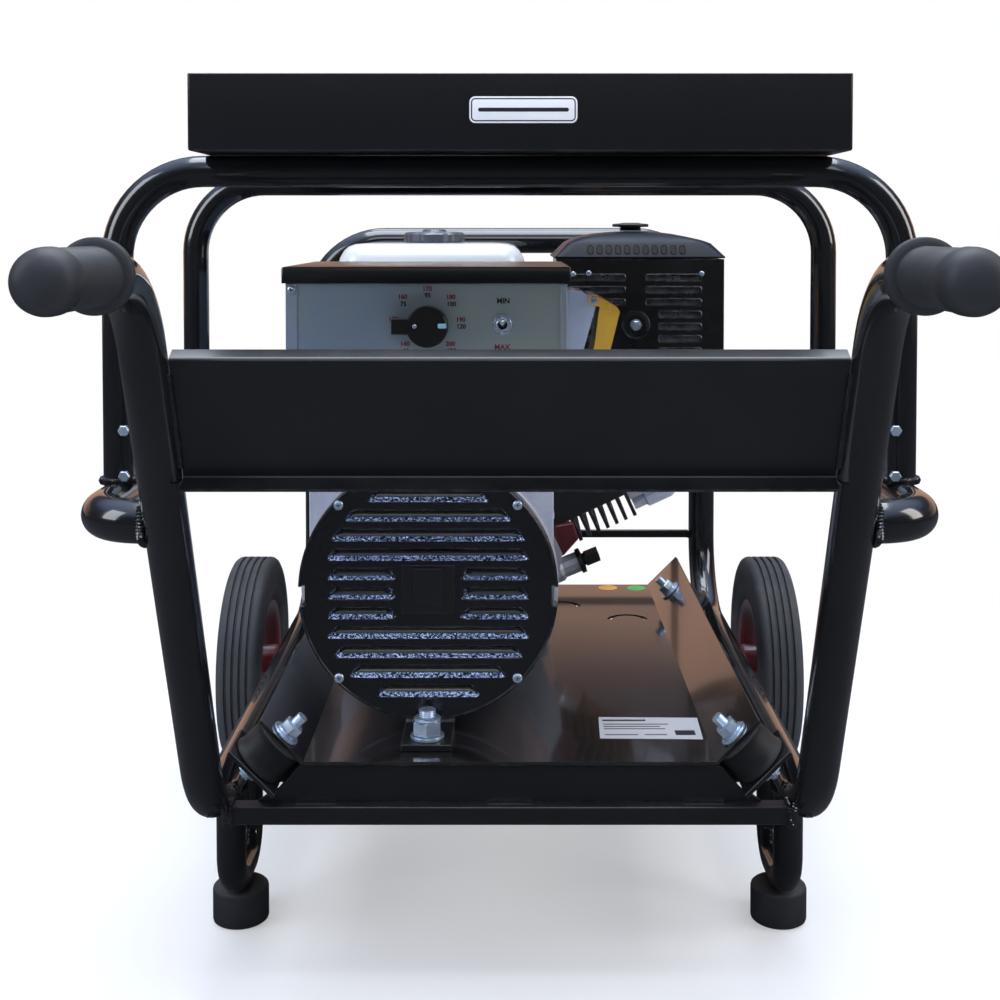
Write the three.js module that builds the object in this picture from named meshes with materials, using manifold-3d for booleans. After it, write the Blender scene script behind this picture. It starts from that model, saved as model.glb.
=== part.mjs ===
// Wheeled welding generator: a petrol engine drives a louvred alternator on a rubber-mounted bed.
// The bed hangs in a barrow frame of bent steel tube with two wheels, two feet and a tool tray.
// Millimetres. +X is to the right of a person at the handles, +Y runs away from them, +Z is up.
// The origin is on the floor, in the middle of the machine.

import * as THREE from 'three';
import { mergeVertices } from 'three/addons/utils/BufferGeometryUtils.js';
import Module from 'manifold-3d';

const wasm = await Module();
wasm.setup();

// ---------------------------------------------------------------- driving dimensions

const FRAME_TUBE = { radius: 16.85, bore: 14.2, sides: 12 };   // 33.7 mm steel tube
const CAGE_TUBE = { radius: 12.7, bore: 10.7, sides: 10 };     // 25.4 mm steel tube
const LEG_TUBE = { radius: 13.45, bore: 11.1, sides: 10 };     // 26.9 mm steel tube
const FIT_GAP = 0.3;            // clearance left between pieces that touch

const RAIL_X = 258;             // middle of each side frame from the centre plane
const RAIL_Z = 160;             // height of the base rails
const GRIP_Z = 632;             // height of the handles
const GRIP_TIP_Y = -567;        // where the handles end
const GRIP_LENGTH = 113;
const LEAN_Y = -268;            // the handle tubes pass this place at LEAN_Z
const LEAN_Z = 408;
const LEAN_RUN = 0.477;         // run forward for each unit of rise
const REAR_Y = 550;             // rear uprights
const REAR_TOP_Z = 646;
const REAR_JOIN_Z = 262;        // where rail and rear hoop are welded end to end

const BUMPER_X = 318;           // side bumpers and cage legs stand in this plane
const BUMPER_Z = 440;
const CAGE_TOP_Z = 708;
const CAGE_Y = { front: -193, rear: 92 };

const TRAY = { x0: -245.5, x1: 261.5, y0: -260, y1: 162, z0: 721.1, z1: 780, sheet: 2 };
const PANEL = { halfWidth: 240.8, bottomZ: 477, face: 102.6, sheet: 2, topLip: 14, bottomLip: 16 };
const BED = { y0: -143, y1: 458, topZ: 205, sheet: 3, foldX: 177, rise: 36 };
const MOUNT_Y = [-127, 355];    // rubber mounts, front pair and rear pair
const MOUNT_RUBBER = { radius: 25, length: 30 };

const LEG_Y = -4;
const LEG_SPREAD = 45;
const LEG_BOTTOM_Z = 49.5;
const FOOT = { radius: 26.5, height: 35.75 };

const WHEEL = { x: 319, y: 407, radius: 125, width: 50, rimRadius: 72, axleRadius: 10 };

const SHAFT = { x: -73, z: 337 };   // crankshaft and alternator axis, running along Y
const COVER = {
  radius: 116.7, y0: -86, y1: -62, slotReach: 102, slotHalf: 92, slotPitch: 17.6, slotDrop: 2, hubHalf: 28,
};
const STATOR = { y0: -30, y1: 150, radius: 120, cheek: 114, topZ: 452 };
const ENGINE_Y = 204;               // engine flange
const FLYWHEEL_Y = { y0: 380.4, y1: 470 };
const RECOIL_END_Y = 514;
const CYLINDER_TILT = THREE.MathUtils.degToRad(25);

const BOX = { x0: -203, x1: 52, y0: -58, y1: 150, z0: 455, z1: 612, sheet: 2 };
const LID = { overhang: 3.5, top: 627.2 };
const PANEL_Y = -61;
const DIAL = { x: -74, z: 574, radius: 18.7 };
const TOGGLE = { x: -6.4, z: 575, tilt: 12 };
const FLAP_PIVOT = { x: 76.7, z: 596.7 };

const GUARD = { x0: 51.5, x1: 237.4, y0: 222, y1: 340, z0: 520, z1: 628 };
const CLEANER = { y1: 392, z0: 629, z1: 659, knobX: 140, knobY: 300 };
const TANK = { x0: -205, x1: 22, y0: 285, y1: 475, z0: 530, z1: 645, wall: 3 };
const CAP = { x: -92, y: 384, radius: 37 };
const SWITCH = { x: -187, y: 300, z: 310 };
const PULL = { x: -13, y: 492, bottomZ: 300, grip: 463 };

// ---------------------------------------------------------------- finishes

const finish = (color, roughness, metalness) =>
  new THREE.MeshStandardMaterial({ color, roughness, metalness });

const BLACK_PAINT = finish(0x14181c, 0.3, 0.1);
const GRIP_RUBBER = finish(0x26292e, 0.75, 0);
const TYRE_RUBBER = finish(0x2c3036, 0.85, 0);
const RED_PAINT = finish(0x7c1620, 0.35, 0.2);
const ZINC = finish(0xb4bcc2, 0.35, 0.9);
const CAST_ALUMINIUM = finish(0xb9bcc0, 0.5, 0.7);
const SILVER_SHEET = finish(0x8f989e, 0.4, 0.6);
const BLACK_PLASTIC = finish(0x101214, 0.45, 0);
const SOCKET_GREY = finish(0xa9b2c2, 0.4, 0);
const YELLOW_PLASTIC = finish(0xd0a82e, 0.45, 0);
const TANK_WHITE = finish(0xe9ecec, 0.3, 0);
const ENGINE_RED = finish(0x51181b, 0.4, 0.2);
const STEEL = finish(0x8b8f93, 0.4, 0.9);
const COPPER_CORE = finish(0x8a5a3c, 0.5, 0.7);

// ---------------------------------------------------------------- shape helpers

const product = new THREE.Group();

function addPart(name, geometry, material, parent = product) {
  const mesh = new THREE.Mesh(geometry, material);
  mesh.name = name;
  parent.add(mesh);
  return mesh;
}

/** Turns a closed geometry into a solid that can be cut and joined. */
function solidOf(geometry) {
  const bare = geometry.clone();
  bare.deleteAttribute('normal');
  bare.deleteAttribute('uv');
  const merged = mergeVertices(bare, 1e-3);
  const corners = merged.index.array;
  const triangles = [];
  for (let i = 0; i < corners.length; i += 3) {
    const [a, b, c] = corners.slice(i, i + 3);
    if (a !== b && b !== c && c !== a) triangles.push(a, b, c);
  }
  return new wasm.Manifold(new wasm.Mesh({
    numProp: 3,
    vertProperties: new Float32Array(merged.attributes.position.array),
    triVerts: new Uint32Array(triangles),
  }));
}

function geometryOf(solid) {
  const { vertProperties, triVerts } = solid.getMesh();
  const geometry = new THREE.BufferGeometry();
  geometry.setAttribute('position', new THREE.BufferAttribute(new Float32Array(vertProperties), 3));
  geometry.setIndex(new THREE.BufferAttribute(new Uint32Array(triVerts), 1));
  return geometry;
}

const cut = (base, tools) =>
  geometryOf(tools.reduce((solid, tool) => solid.subtract(solidOf(tool)), solidOf(base)));

const join = (pieces) =>
  geometryOf(pieces.slice(1).reduce((solid, piece) => solid.add(solidOf(piece)), solidOf(pieces[0])));

function block(x0, x1, y0, y1, z0, z1) {
  return new THREE.BoxGeometry(x1 - x0, y1 - y0, z1 - z0)
    .translate((x0 + x1) / 2, (y0 + y1) / 2, (z0 + z1) / 2);
}

const axisX = new THREE.Vector3(1, 0, 0);
const axisY = new THREE.Vector3(0, 1, 0);
const axisZ = new THREE.Vector3(0, 0, 1);

function prism(outline, length, holes = []) {
  const shape = new THREE.Shape(outline.map(([a, b]) => new THREE.Vector2(a, b)));
  shape.holes = holes.map((hole) => new THREE.Path(hole.map(([a, b]) => new THREE.Vector2(a, b))));
  return new THREE.ExtrudeGeometry(shape, { depth: length, bevelEnabled: false });
}

/** An outline of [x, z] points carried along Y. */
function prismY(outline, y0, y1, holes = []) {
  const turn = new THREE.Matrix4().makeBasis(axisX, axisZ, axisY.clone().negate());
  return prism(outline, y1 - y0, holes).applyMatrix4(turn).translate(0, y1, 0);
}

/** An outline of [y, z] points carried along X. */
function prismX(outline, x0, x1) {
  const turn = new THREE.Matrix4().makeBasis(axisY, axisZ, axisX);
  return prism(outline, x1 - x0).applyMatrix4(turn).translate(x0, 0, 0);
}

/** A profile of [radius, distance] points turned about a line from `start` along `direction`. */
function turned(profile, sides, start, direction) {
  const lathe = new THREE.LatheGeometry(profile.map(([r, h]) => new THREE.Vector2(r, h)), sides);
  const turn = new THREE.Quaternion().setFromUnitVectors(axisY, direction.clone().normalize());
  return lathe.applyQuaternion(turn).translate(start.x, start.y, start.z);
}

const rod = (radius, sides, start, direction, length) =>
  turned([[0, 0], [radius, 0], [radius, length], [0, length]], sides, start, direction);

const ring = (count, radius, turn = 0) => Array.from({ length: count }, (_, i) => {
  const angle = turn + (i * 2 * Math.PI) / count;
  return [radius * Math.cos(angle), radius * Math.sin(angle)];
});

const V = (x, y, z) => new THREE.Vector3(x, y, z);

/** A tube's centre line: straight runs between corners, each corner rounded to `bend`. */
class BentLine extends THREE.Curve {
  constructor(corners, bend, stepsPerBend) {
    super();
    this.stations = [];
    const last = corners.length - 1;
    const heading = (i) => corners[i + 1].clone().sub(corners[i]).normalize();
    this.stations.push({ point: corners[0].clone(), tangent: heading(0) });
    for (let i = 1; i < last; i += 1) {
      const before = heading(i - 1);
      const after = heading(i);
      const turn = before.angleTo(after);
      const inward = after.clone().sub(before).normalize();
      const centre = corners[i].clone().addScaledVector(inward, bend / Math.cos(turn / 2));
      const hinge = before.clone().cross(after).normalize();
      const startPoint = corners[i].clone().addScaledVector(before, -bend * Math.tan(turn / 2));
      for (let k = 0; k <= stepsPerBend; k += 1) {
        const angle = (turn * k) / stepsPerBend;
        this.stations.push({
          point: startPoint.clone().sub(centre).applyAxisAngle(hinge, angle).add(centre),
          tangent: before.clone().applyAxisAngle(hinge, angle),
        });
      }
    }
    this.stations.push({ point: corners[last].clone(), tangent: heading(last - 1) });
  }

  get steps() {
    return this.stations.length - 1;
  }

  station(u) {
    return this.stations[Math.round(u * this.steps)];
  }

  getTangentAt(u, target = new THREE.Vector3()) {
    return target.copy(this.station(u).tangent);
  }

  getSpacedPoints() {
    return this.stations.map(({ point }) => point.clone());
  }
}

function bentTube(corners, bend, tube, stepsPerBend = 4) {
  const line = new BentLine(corners, bend, stepsPerBend);
  const shape = new THREE.Shape(ring(tube.sides, tube.radius).map(([a, b]) => new THREE.Vector2(a, b)));
  shape.holes.push(new THREE.Path(ring(6, tube.bore).map(([a, b]) => new THREE.Vector2(a, b))));
  return new THREE.ExtrudeGeometry(shape, { steps: line.steps, extrudePath: line });
}

const SIDES = [{ name: 'left', sign: -1 }, { name: 'right', sign: 1 }];
const leanY = (z) => LEAN_Y - (z - LEAN_Z) * LEAN_RUN;

// ---------------------------------------------------------------- rubber mount places

const FLANGE = { x: BED.foldX + BED.rise / 2, z: BED.topZ + BED.rise / 2 };
const STUD = { radius: 5, hole: 5.6, nut: 9.6 };
const BRACKET = { plate: 4, reach: 27 };

const downAndOut = (sign) => V(sign, 0, -1).normalize();

const flangePoint = (sign, y, depth) =>
  V(sign * FLANGE.x, y, FLANGE.z).addScaledVector(downAndOut(sign), depth);

/** A plate parallel to the bed's fold, on two gussets welded to the rail. */
function mountBracket(sign, y) {
  const { plate, reach } = BRACKET;
  const depth = BED.sheet + MOUNT_RUBBER.length + 2 * FIT_GAP;
  const top = flangePoint(sign, y, depth);
  const half = Math.SQRT1_2;
  const at = (a, d) => [top.x + sign * (a + d) * half, top.z + (a - d) * half];
  const face = prismY([at(-reach, 0), at(reach, 0), at(reach, plate), at(-reach, plate)],
    y - reach, y + reach);
  const gusset = (from) => prismY([
    at(-reach, plate - 1), at(reach, plate - 1), [sign * RAIL_X, RAIL_Z],
    [sign * (RAIL_X - 20), RAIL_Z - 6],
  ], from, from + 5);
  const insideRail = rod(15.4, 12, V(sign * RAIL_X, y - 60, RAIL_Z), axisY, 120);
  const studHole = rod(STUD.hole, 8, flangePoint(sign, y, depth - 3), downAndOut(sign), 14);
  return cut(join([face, gusset(y - reach), gusset(y + reach - 5)]), [insideRail, studHole]);
}

// ---------------------------------------------------------------- barrow frame

function addFrame() {
  const handleBend = 95;
  const tubeEnd = GRIP_TIP_Y + 7;
  for (const { name, sign } of SIDES) {
    const x = sign * RAIL_X;
    const tube = bentTube([
      V(x, tubeEnd, GRIP_Z), V(x, leanY(GRIP_Z), GRIP_Z), V(x, leanY(RAIL_Z), RAIL_Z),
      V(x, REAR_Y, RAIL_Z), V(x, REAR_Y, REAR_JOIN_Z),
    ], handleBend, FRAME_TUBE);
    const brackets = MOUNT_Y.map((y) => mountBracket(sign, y));
    addPart(`main_tube_${name}`, join([tube, ...brackets]), BLACK_PAINT);
  }

  addPart('rear_hoop', bentTube([
    V(-RAIL_X, REAR_Y, REAR_JOIN_Z + FIT_GAP), V(-RAIL_X, REAR_Y, REAR_TOP_Z),
    V(RAIL_X, REAR_Y, REAR_TOP_Z), V(RAIL_X, REAR_Y, REAR_JOIN_Z + FIT_GAP),
  ], 91, FRAME_TUBE), BLACK_PAINT);

  const bumperBend = 40;
  const bumperFrontY = -274;
  for (const { name, sign } of SIDES) {
    const weldX = sign * (RAIL_X + FRAME_TUBE.radius + 2 * FIT_GAP);
    const x = sign * BUMPER_X;
    addPart(`side_bumper_${name}`, bentTube([
      V(weldX, bumperFrontY, BUMPER_Z), V(x, bumperFrontY, BUMPER_Z),
      V(x, REAR_Y, BUMPER_Z), V(weldX, REAR_Y, BUMPER_Z),
    ], bumperBend, FRAME_TUBE, 3), BLACK_PAINT);
  }

  const legFootZ = BUMPER_Z + FRAME_TUBE.radius + FIT_GAP;
  for (const [name, y] of Object.entries(CAGE_Y)) {
    addPart(`cage_hoop_${name}`, bentTube([
      V(-BUMPER_X, y, legFootZ), V(-BUMPER_X, y, CAGE_TOP_Z),
      V(BUMPER_X, y, CAGE_TOP_Z), V(BUMPER_X, y, legFootZ),
    ], 70, CAGE_TUBE), BLACK_PAINT);
  }

  // An upright apron plate closes the front below the bed, shaped to clear the two front mounts.
  const apron = [[219, 165], [204.5, 176.5], [201.6, 176.4], [198.6, 179.4], [183, 198]];
  const innerX = RAIL_X - FRAME_TUBE.radius - FIT_GAP;
  addPart('front_cross_bar', join([
    block(-innerX, innerX, -144, -128, 150, 166),
    prismY([...apron, ...apron.map(([x, z]) => [-x, z]).reverse()], -132, -128),
  ]), BLACK_PAINT);
  addPart('rear_cross_bar', block(-innerX, innerX, REAR_Y - 3, REAR_Y + 3, 246, 256), BLACK_PAINT);

  const legBend = 32;
  for (const { name, sign } of SIDES) {
    const x = sign * RAIL_X;
    const topZ = RAIL_Z - FRAME_TUBE.radius - FIT_GAP;
    addPart(`leg_${name}`, bentTube([
      V(x, LEG_Y - LEG_SPREAD, topZ), V(x, LEG_Y - LEG_SPREAD, LEG_BOTTOM_Z),
      V(x, LEG_Y + LEG_SPREAD, LEG_BOTTOM_Z), V(x, LEG_Y + LEG_SPREAD, topZ),
    ], legBend, LEG_TUBE), BLACK_PAINT);
  }
}

/** The flat panel between the handles, a folded Z section lying in the plane of the tubes. */
function addHandlePanel() {
  const { halfWidth, bottomZ, face, sheet, topLip, bottomLip } = PANEL;
  const slope = Math.hypot(1, LEAN_RUN);
  const up = [-LEAN_RUN / slope, 1 / slope];
  const back = [1 / slope, LEAN_RUN / slope];
  const place = ([n, t]) => [
    leanY(bottomZ) + n * back[0] + t * up[0],
    bottomZ + n * back[1] + t * up[1],
  ];
  const section = [
    [-bottomLip, 0], [sheet, 0], [sheet, face - sheet], [topLip, face - sheet],
    [topLip, face], [0, face], [0, sheet], [-bottomLip, sheet],
  ];
  addPart('handle_panel', prismX(section.map(place), -halfWidth, halfWidth), BLACK_PAINT);
}

function addTray() {
  const { x0, x1, y0, y1, z0, z1, sheet } = TRAY;
  addPart('top_tray', cut(block(x0, x1, y0, y1, z0, z1), [
    block(x0 + sheet, x1 - sheet, y0 + sheet, y1 - sheet, z0 + sheet, z1 + 1),
  ]), BLACK_PAINT);
}

function addGrips() {
  const bore = 17.3;
  const profile = [
    [0, 0], [9, 0.8], [15.5, 4], [18.6, 9], [19.75, 16], [19.75, 24], [18.9, 27], [18.9, 104],
    [24.5, 106], [24.5, GRIP_LENGTH], [bore, GRIP_LENGTH], [bore, 6], [0, 6],
  ];
  for (const { name, sign } of SIDES) {
    const tip = V(sign * RAIL_X, GRIP_TIP_Y, GRIP_Z);
    addPart(`grip_${name}`, turned(profile, 14, tip, axisY), GRIP_RUBBER);
  }
}

function addFeet() {
  const { radius, height } = FOOT;
  const profile = [[0, 0], [radius - 2, 0], [radius, 2], [radius, height - 4], [21, height], [0, height]];
  for (const { name, sign } of SIDES) {
    addPart(`foot_${name}`, turned(profile, 16, V(sign * RAIL_X, LEG_Y, 0), axisZ), GRIP_RUBBER);
  }
}

// ---------------------------------------------------------------- rubber-mounted bed

function addBed() {
  const { y0, y1, topZ, sheet, foldX, rise } = BED;
  const fold = sheet * Math.tan(Math.PI / 8);
  const diagonal = sheet / Math.SQRT2;
  const half = [
    [foldX, topZ], [foldX + rise, topZ + rise],
    [foldX + rise + diagonal, topZ + rise - diagonal], [foldX + fold, topZ - sheet],
  ];
  const outline = [...half, ...half.map(([x, z]) => [-x, z]).reverse()];
  const holes = SIDES.flatMap(({ sign }) => MOUNT_Y.map((y) =>
    rod(STUD.hole, 8, flangePoint(sign, y, -5), downAndOut(sign), 15)));
  // Two curved slots let the exhaust set be adjusted; each is an arc about its own centre.
  const arcSlot = (x, y, from, to) => {
    const [inner, outer, steps] = [19, 25, 6];
    const edge = (radius, start, end) => Array.from({ length: steps + 1 }, (_, i) => {
      const angle = THREE.MathUtils.degToRad(start + ((end - start) * i) / steps);
      return [x + radius * Math.cos(angle), y + radius * Math.sin(angle)];
    });
    return prism([...edge(outer, from, to), ...edge(inner, to, from)], 3 * sheet)
      .translate(0, 0, topZ - 2 * sheet);
  };
  const slots = [arcSlot(138, 294, 10, 170), arcSlot(62, 352, 5, 100)];
  addPart('bed_plate', cut(prismY(outline, y0, y1), [...holes, ...slots]), BLACK_PAINT);
}

/** A rubber bobbin with a stud and nut bonded to each end, set square to the bed's fold. */
function addRubberMounts() {
  const { radius, length } = MOUNT_RUBBER;
  const above = BED.sheet + 2 * FIT_GAP;
  const below = BRACKET.plate + 2 * FIT_GAP;
  const profile = [
    [0, -above - 22], [STUD.radius, -above - 22], [STUD.radius, -above - 12], [STUD.nut, -above - 12],
    [STUD.nut, -above - 3], [11, -above - 3], [11, -above], [STUD.radius, -above], [STUD.radius, 0],
    [radius, 0], [radius, length], [STUD.radius, length], [STUD.radius, length + below],
    [STUD.nut, length + below], [STUD.nut, length + below + 9], [STUD.radius, length + below + 9],
    [STUD.radius, length + below + 14], [0, length + below + 14],
  ];
  for (const { name, sign } of SIDES) {
    MOUNT_Y.forEach((y, i) => {
      const top = flangePoint(sign, y, BED.sheet + FIT_GAP);
      addPart(`rubber_mount_${['front', 'rear'][i]}_${name}`,
        turned(profile, 12, top, downAndOut(sign)), TYRE_RUBBER);
    });
  }
}

/** The lock nut on the stud that ties the alternator's foot down to the bed. */
function addStandNut() {
  addPart('stand_nut', turned([
    [0, 0], [15, 0], [15, 3], [13.6, 3], [13.6, 18], [10.5, 22], [8, 22], [8, 26], [0, 26],
  ], 6, V(SHAFT.x, -102, BED.topZ + 6 + FIT_GAP), axisZ), ZINC);
}

// ---------------------------------------------------------------- running gear

function addWheels() {
  const half = WHEEL.width / 2;
  const seat = WHEEL.rimRadius;
  const sides = 20;
  const tyre = [
    [seat + FIT_GAP, -half + 4], [88, -half], [WHEEL.radius - 5, -half], [WHEEL.radius, -half + 4],
    [WHEEL.radius, half - 4], [WHEEL.radius - 5, half], [88, half], [seat + FIT_GAP, half - 4],
    [seat + FIT_GAP, -half + 4],
  ];
  const bore = WHEEL.axleRadius + 0.25;
  const hub = 17;
  const rim = [
    [bore, -28], [hub, -28], [hub, -6], [60, -3], [60, -19], [seat, -21], [seat, 21],
    [60, 19], [60, 1], [hub, -1], [hub, 18], [bore, 18], [bore, -28],
  ];
  for (const { name, sign } of SIDES) {
    const centre = V(sign * WHEEL.x, WHEEL.y, WHEEL.radius);
    const outward = V(sign, 0, 0);
    addPart(`tyre_${name}`, turned(tyre, sides, centre, outward), TYRE_RUBBER);
    addPart(`rim_${name}`, turned(rim, sides, centre, outward), RED_PAINT);
  }

  const end = WHEEL.x + 24;
  const saddle = (sign) => block(sign * RAIL_X - 12, sign * RAIL_X + 12, WHEEL.y - 12, WHEEL.y + 12,
    WHEEL.radius, RAIL_Z - FRAME_TUBE.radius - FIT_GAP);
  addPart('axle', join([
    rod(WHEEL.axleRadius, 16, V(-end, WHEEL.y, WHEEL.radius), axisX, 2 * end),
    saddle(-1), saddle(1),
  ]), STEEL);
}

// ---------------------------------------------------------------- alternator

const onShaft = (y) => V(SHAFT.x, y, SHAFT.z);

function addAlternatorCover() {
  const { radius, y0, y1, slotReach, slotHalf, slotPitch, slotDrop, hubHalf } = COVER;
  const skin = 2;
  const depth = y1 - y0;
  const cup = turned([
    [0, 0], [radius, 0], [radius, depth], [radius - skin, depth], [radius - skin, skin], [0, skin],
  ], 32, onShaft(y0), axisY);
  const louvres = [];
  const slotHeight = 7;
  for (let row = -5; row <= 5; row += 1) {
    const dz = row * slotPitch - slotDrop;
    const reach = Math.min(slotHalf, Math.sqrt(slotReach ** 2 - dz ** 2));
    const inner = Math.abs(row) <= 1 ? hubHalf : 0;
    const spans = inner ? [[-reach, -inner], [inner, reach]] : [[-reach, reach]];
    for (const [from, to] of spans) {
      louvres.push(block(SHAFT.x + from, SHAFT.x + to, y0 - 1, y0 + skin + 1,
        SHAFT.z + dz - slotHeight / 2, SHAFT.z + dz + slotHeight / 2));
    }
  }
  addPart('alternator_cover', cut(cup, louvres), BLACK_PAINT);
}

function addAlternator() {
  const bell = turned([
    [15.4, -52], [30, -52], [30, -44], [106, -44], [106, -61.6], [114, -61.6],
    [118, -56], [118, -30.4], [108, -30.4], [108, -37], [15.4, -37], [15.4, -52],
  ], 20, onShaft(0), axisY);
  const riser = block(SHAFT.x - 22, SHAFT.x + 22, -60, -40, BED.topZ + FIT_GAP, 226);
  const sole = block(SHAFT.x - 22, SHAFT.x + 22, -120, -42, BED.topZ + FIT_GAP, BED.topZ + 6);
  addPart('end_bell', join([bell, riser, sole]), CAST_ALUMINIUM);

  const { y0, y1, radius, cheek, topZ } = STATOR;
  const arc = [];
  const startAngle = -Math.acos(cheek / radius);
  const steps = 18;
  for (let i = 0; i <= steps; i += 1) {
    const angle = startAngle - ((Math.PI + 2 * startAngle) * i) / steps;
    arc.push([SHAFT.x + radius * Math.cos(angle), SHAFT.z + radius * Math.sin(angle)]);
  }
  const outline = [[SHAFT.x + cheek, topZ], ...arc, [SHAFT.x - cheek, topZ]].reverse();
  const bore = ring(24, 100).map(([x, z]) => [SHAFT.x + x, SHAFT.z + z]);
  addPart('stator_housing', prismY(outline, y0, y1, [bore]), CAST_ALUMINIUM);

  addPart('stator_core', turned([
    [66, -14], [98.5, -14], [98.5, 132], [66, 132], [66, -14],
  ], 24, onShaft(0), axisY), COPPER_CORE);
  addPart('rotor', turned([
    [18.3, -20], [62, -20], [62, 136], [18.3, 136], [18.3, -20],
  ], 16, onShaft(0), axisY), STEEL);

  const blades = 9;
  const fanOutline = Array.from({ length: blades * 3 }, (_, i) => {
    const angle = (i * 2 * Math.PI) / (blades * 3);
    const r = i % 3 === 0 ? 40 : 88;
    return [SHAFT.x + r * Math.cos(angle), SHAFT.z + r * Math.sin(angle)];
  });
  const fanBore = ring(16, 18.7).map(([x, z]) => [SHAFT.x + x, SHAFT.z + z]);
  addPart('cooling_fan', prismY(fanOutline, 142, 162, [fanBore]), BLACK_PLASTIC);

  addPart('crankshaft', turned([
    [0, -57], [15, -57], [15, -26], [18, -26], [18, 204], [20, 204], [20, 246], [52, 246],
    [52, 332], [20, 332], [20, 388], [14, 388], [14, 466], [0, 466],
  ], 16, onShaft(0), axisY), STEEL);

  addPart('engine_adapter', turned([
    [96, 150.4], [118, 150.4], [118, 168], [104, ENGINE_Y - FIT_GAP], [24, ENGINE_Y - FIT_GAP],
    [24, 194], [92, 194], [96, 182], [96, 150.4],
  ], 24, onShaft(0), axisY), CAST_ALUMINIUM);
}

// ---------------------------------------------------------------- control box

function addControlBox() {
  const { x0, x1, y0, y1, z0, z1, sheet } = BOX;
  addPart('control_box', cut(block(x0, x1, y0, y1, z0, z1), [
    block(x0 + sheet, x1 - sheet, y0 - 1, y1 - sheet, z0 + sheet, z1 + 1),
  ]), SILVER_SHEET);

  const { overhang, top } = LID;
  const lidBottom = z1 + FIT_GAP;
  const lidFront = PANEL_Y - overhang;
  addPart('control_box_lid', cut(
    block(x0 - overhang, x1 + overhang, lidFront, y1 + overhang, lidBottom, top),
    [block(x0 - 1.5, x1 + 1.5, lidFront + sheet, y1 + 1.5, lidBottom - 1, top - sheet)],
  ), BLACK_PAINT);

  // The panel carries the switch's threaded bush, which the small lever pivots in.
  const panelBack = y0 - FIT_GAP;
  const hole = (radius, x, z) => ring(12, radius).map(([a, b]) => [x + a, z + b]);
  const bushBore = 4.4;
  const bush = turned([
    [bushBore, -1], [8, -1], [8, 3], [6, 3.2], [6, 6], [bushBore, 6], [bushBore, -1],
  ], 12, V(TOGGLE.x, PANEL_Y, TOGGLE.z), V(0, -1, 0));
  const sheetMetal = prismY([[x0, z0], [x1, z0], [x1, z1], [x0, z1]], PANEL_Y, panelBack,
    [hole(4.6, DIAL.x, DIAL.z), hole(bushBore, TOGGLE.x, TOGGLE.z)]);
  addPart('control_panel', join([sheetMetal, bush]), SILVER_SHEET);

  // The pointer of the knob is a square nose that points to the left at rest.
  const nose = 7;
  const noseAngle = Math.asin(nose / DIAL.radius);
  const sweep = 2 * (Math.PI - noseAngle);
  const knobArc = Array.from({ length: 19 }, (_, i) => {
    const angle = -Math.PI + noseAngle + (sweep * i) / 18;
    return [DIAL.x + DIAL.radius * Math.cos(angle), DIAL.z + DIAL.radius * Math.sin(angle)];
  });
  const knobOutline = [...knobArc, [DIAL.x - 32, DIAL.z + nose], [DIAL.x - 32, DIAL.z - nose]];
  addPart('selector_knob', join([
    prismY(knobOutline, PANEL_Y - 22, PANEL_Y - 1.5),
    rod(4, 10, V(DIAL.x, PANEL_Y - 3, DIAL.z), axisY, 16),
  ]), BLACK_PLASTIC);

  const tilt = THREE.MathUtils.degToRad(TOGGLE.tilt);
  addPart('toggle_lever', turned([
    [0, -2], [1.7, -2], [1.9, 8], [2.7, 16], [2.2, 18.5], [0, 19],
  ], 8, V(TOGGLE.x, PANEL_Y - 2, TOGGLE.z), V(0, -Math.cos(tilt), Math.sin(tilt))), ZINC);
}

/** The angled outlet on the right wall of the box, with a sprung flap hinged at its top. */
function addSocket() {
  const y0 = -50;
  const y1 = 15;
  const wall = BOX.x1 + FIT_GAP;
  // The top is scooped back round the hinge so that the flap's inner corner can swing past it.
  const body = prismY([
    [wall, 530], [62, 531], [80, 595.5], [80.6, 598.5], [78.6, 601.5], [75, 602], [70.5, 601],
    [66, 604.6], [wall, 606],
  ], y0, y1);
  const mouth = rod(19, 12, V(78, -17.5, 561), V(-1, 0, 0.263), 20);
  const pinHole = rod(3.4, 8, V(FLAP_PIVOT.x, y0 - 1, FLAP_PIVOT.z), axisY, y1 - y0 + 2);
  addPart('socket_housing', cut(body, [mouth, pinHole]), SOCKET_GREY);

  const flap = prismY([
    [82.6, 599.5], [97.5, 590], [100.2, 586], [86.5, 531], [71.5, 534], [77, 555], [78.5, 566],
  ].map(([x, z]) => [x + 0.6, z]), y0, y1);
  const ear = (from) => join([
    prismY(ring(8, 5.5).map(([x, z]) => [FLAP_PIVOT.x + x, FLAP_PIVOT.z + z]), from, from + 3),
    prismY([[FLAP_PIVOT.x, 601.5], [90, 594.5], [90, 588], [FLAP_PIVOT.x, 592]], from, from + 3),
  ]);
  const strap = (from) => block(82, 92, from, from + 6, 586, 592);
  const pin = rod(3, 8, V(FLAP_PIVOT.x, y0 - 3, FLAP_PIVOT.z), axisY, y1 - y0 + 6);
  addPart('socket_flap', join([
    flap, ear(y0 - 3 - FIT_GAP), ear(y1 + FIT_GAP), pin,
    strap(y0 - 3 - FIT_GAP), strap(y1 + FIT_GAP - 3),
  ]), YELLOW_PLASTIC);
}

// ---------------------------------------------------------------- engine

const OIL_NECK = {
  start: V(53.5, 244, 276),
  direction: V(Math.cos(0.39), 0, Math.sin(0.39)),
  length: 26,
};

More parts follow.
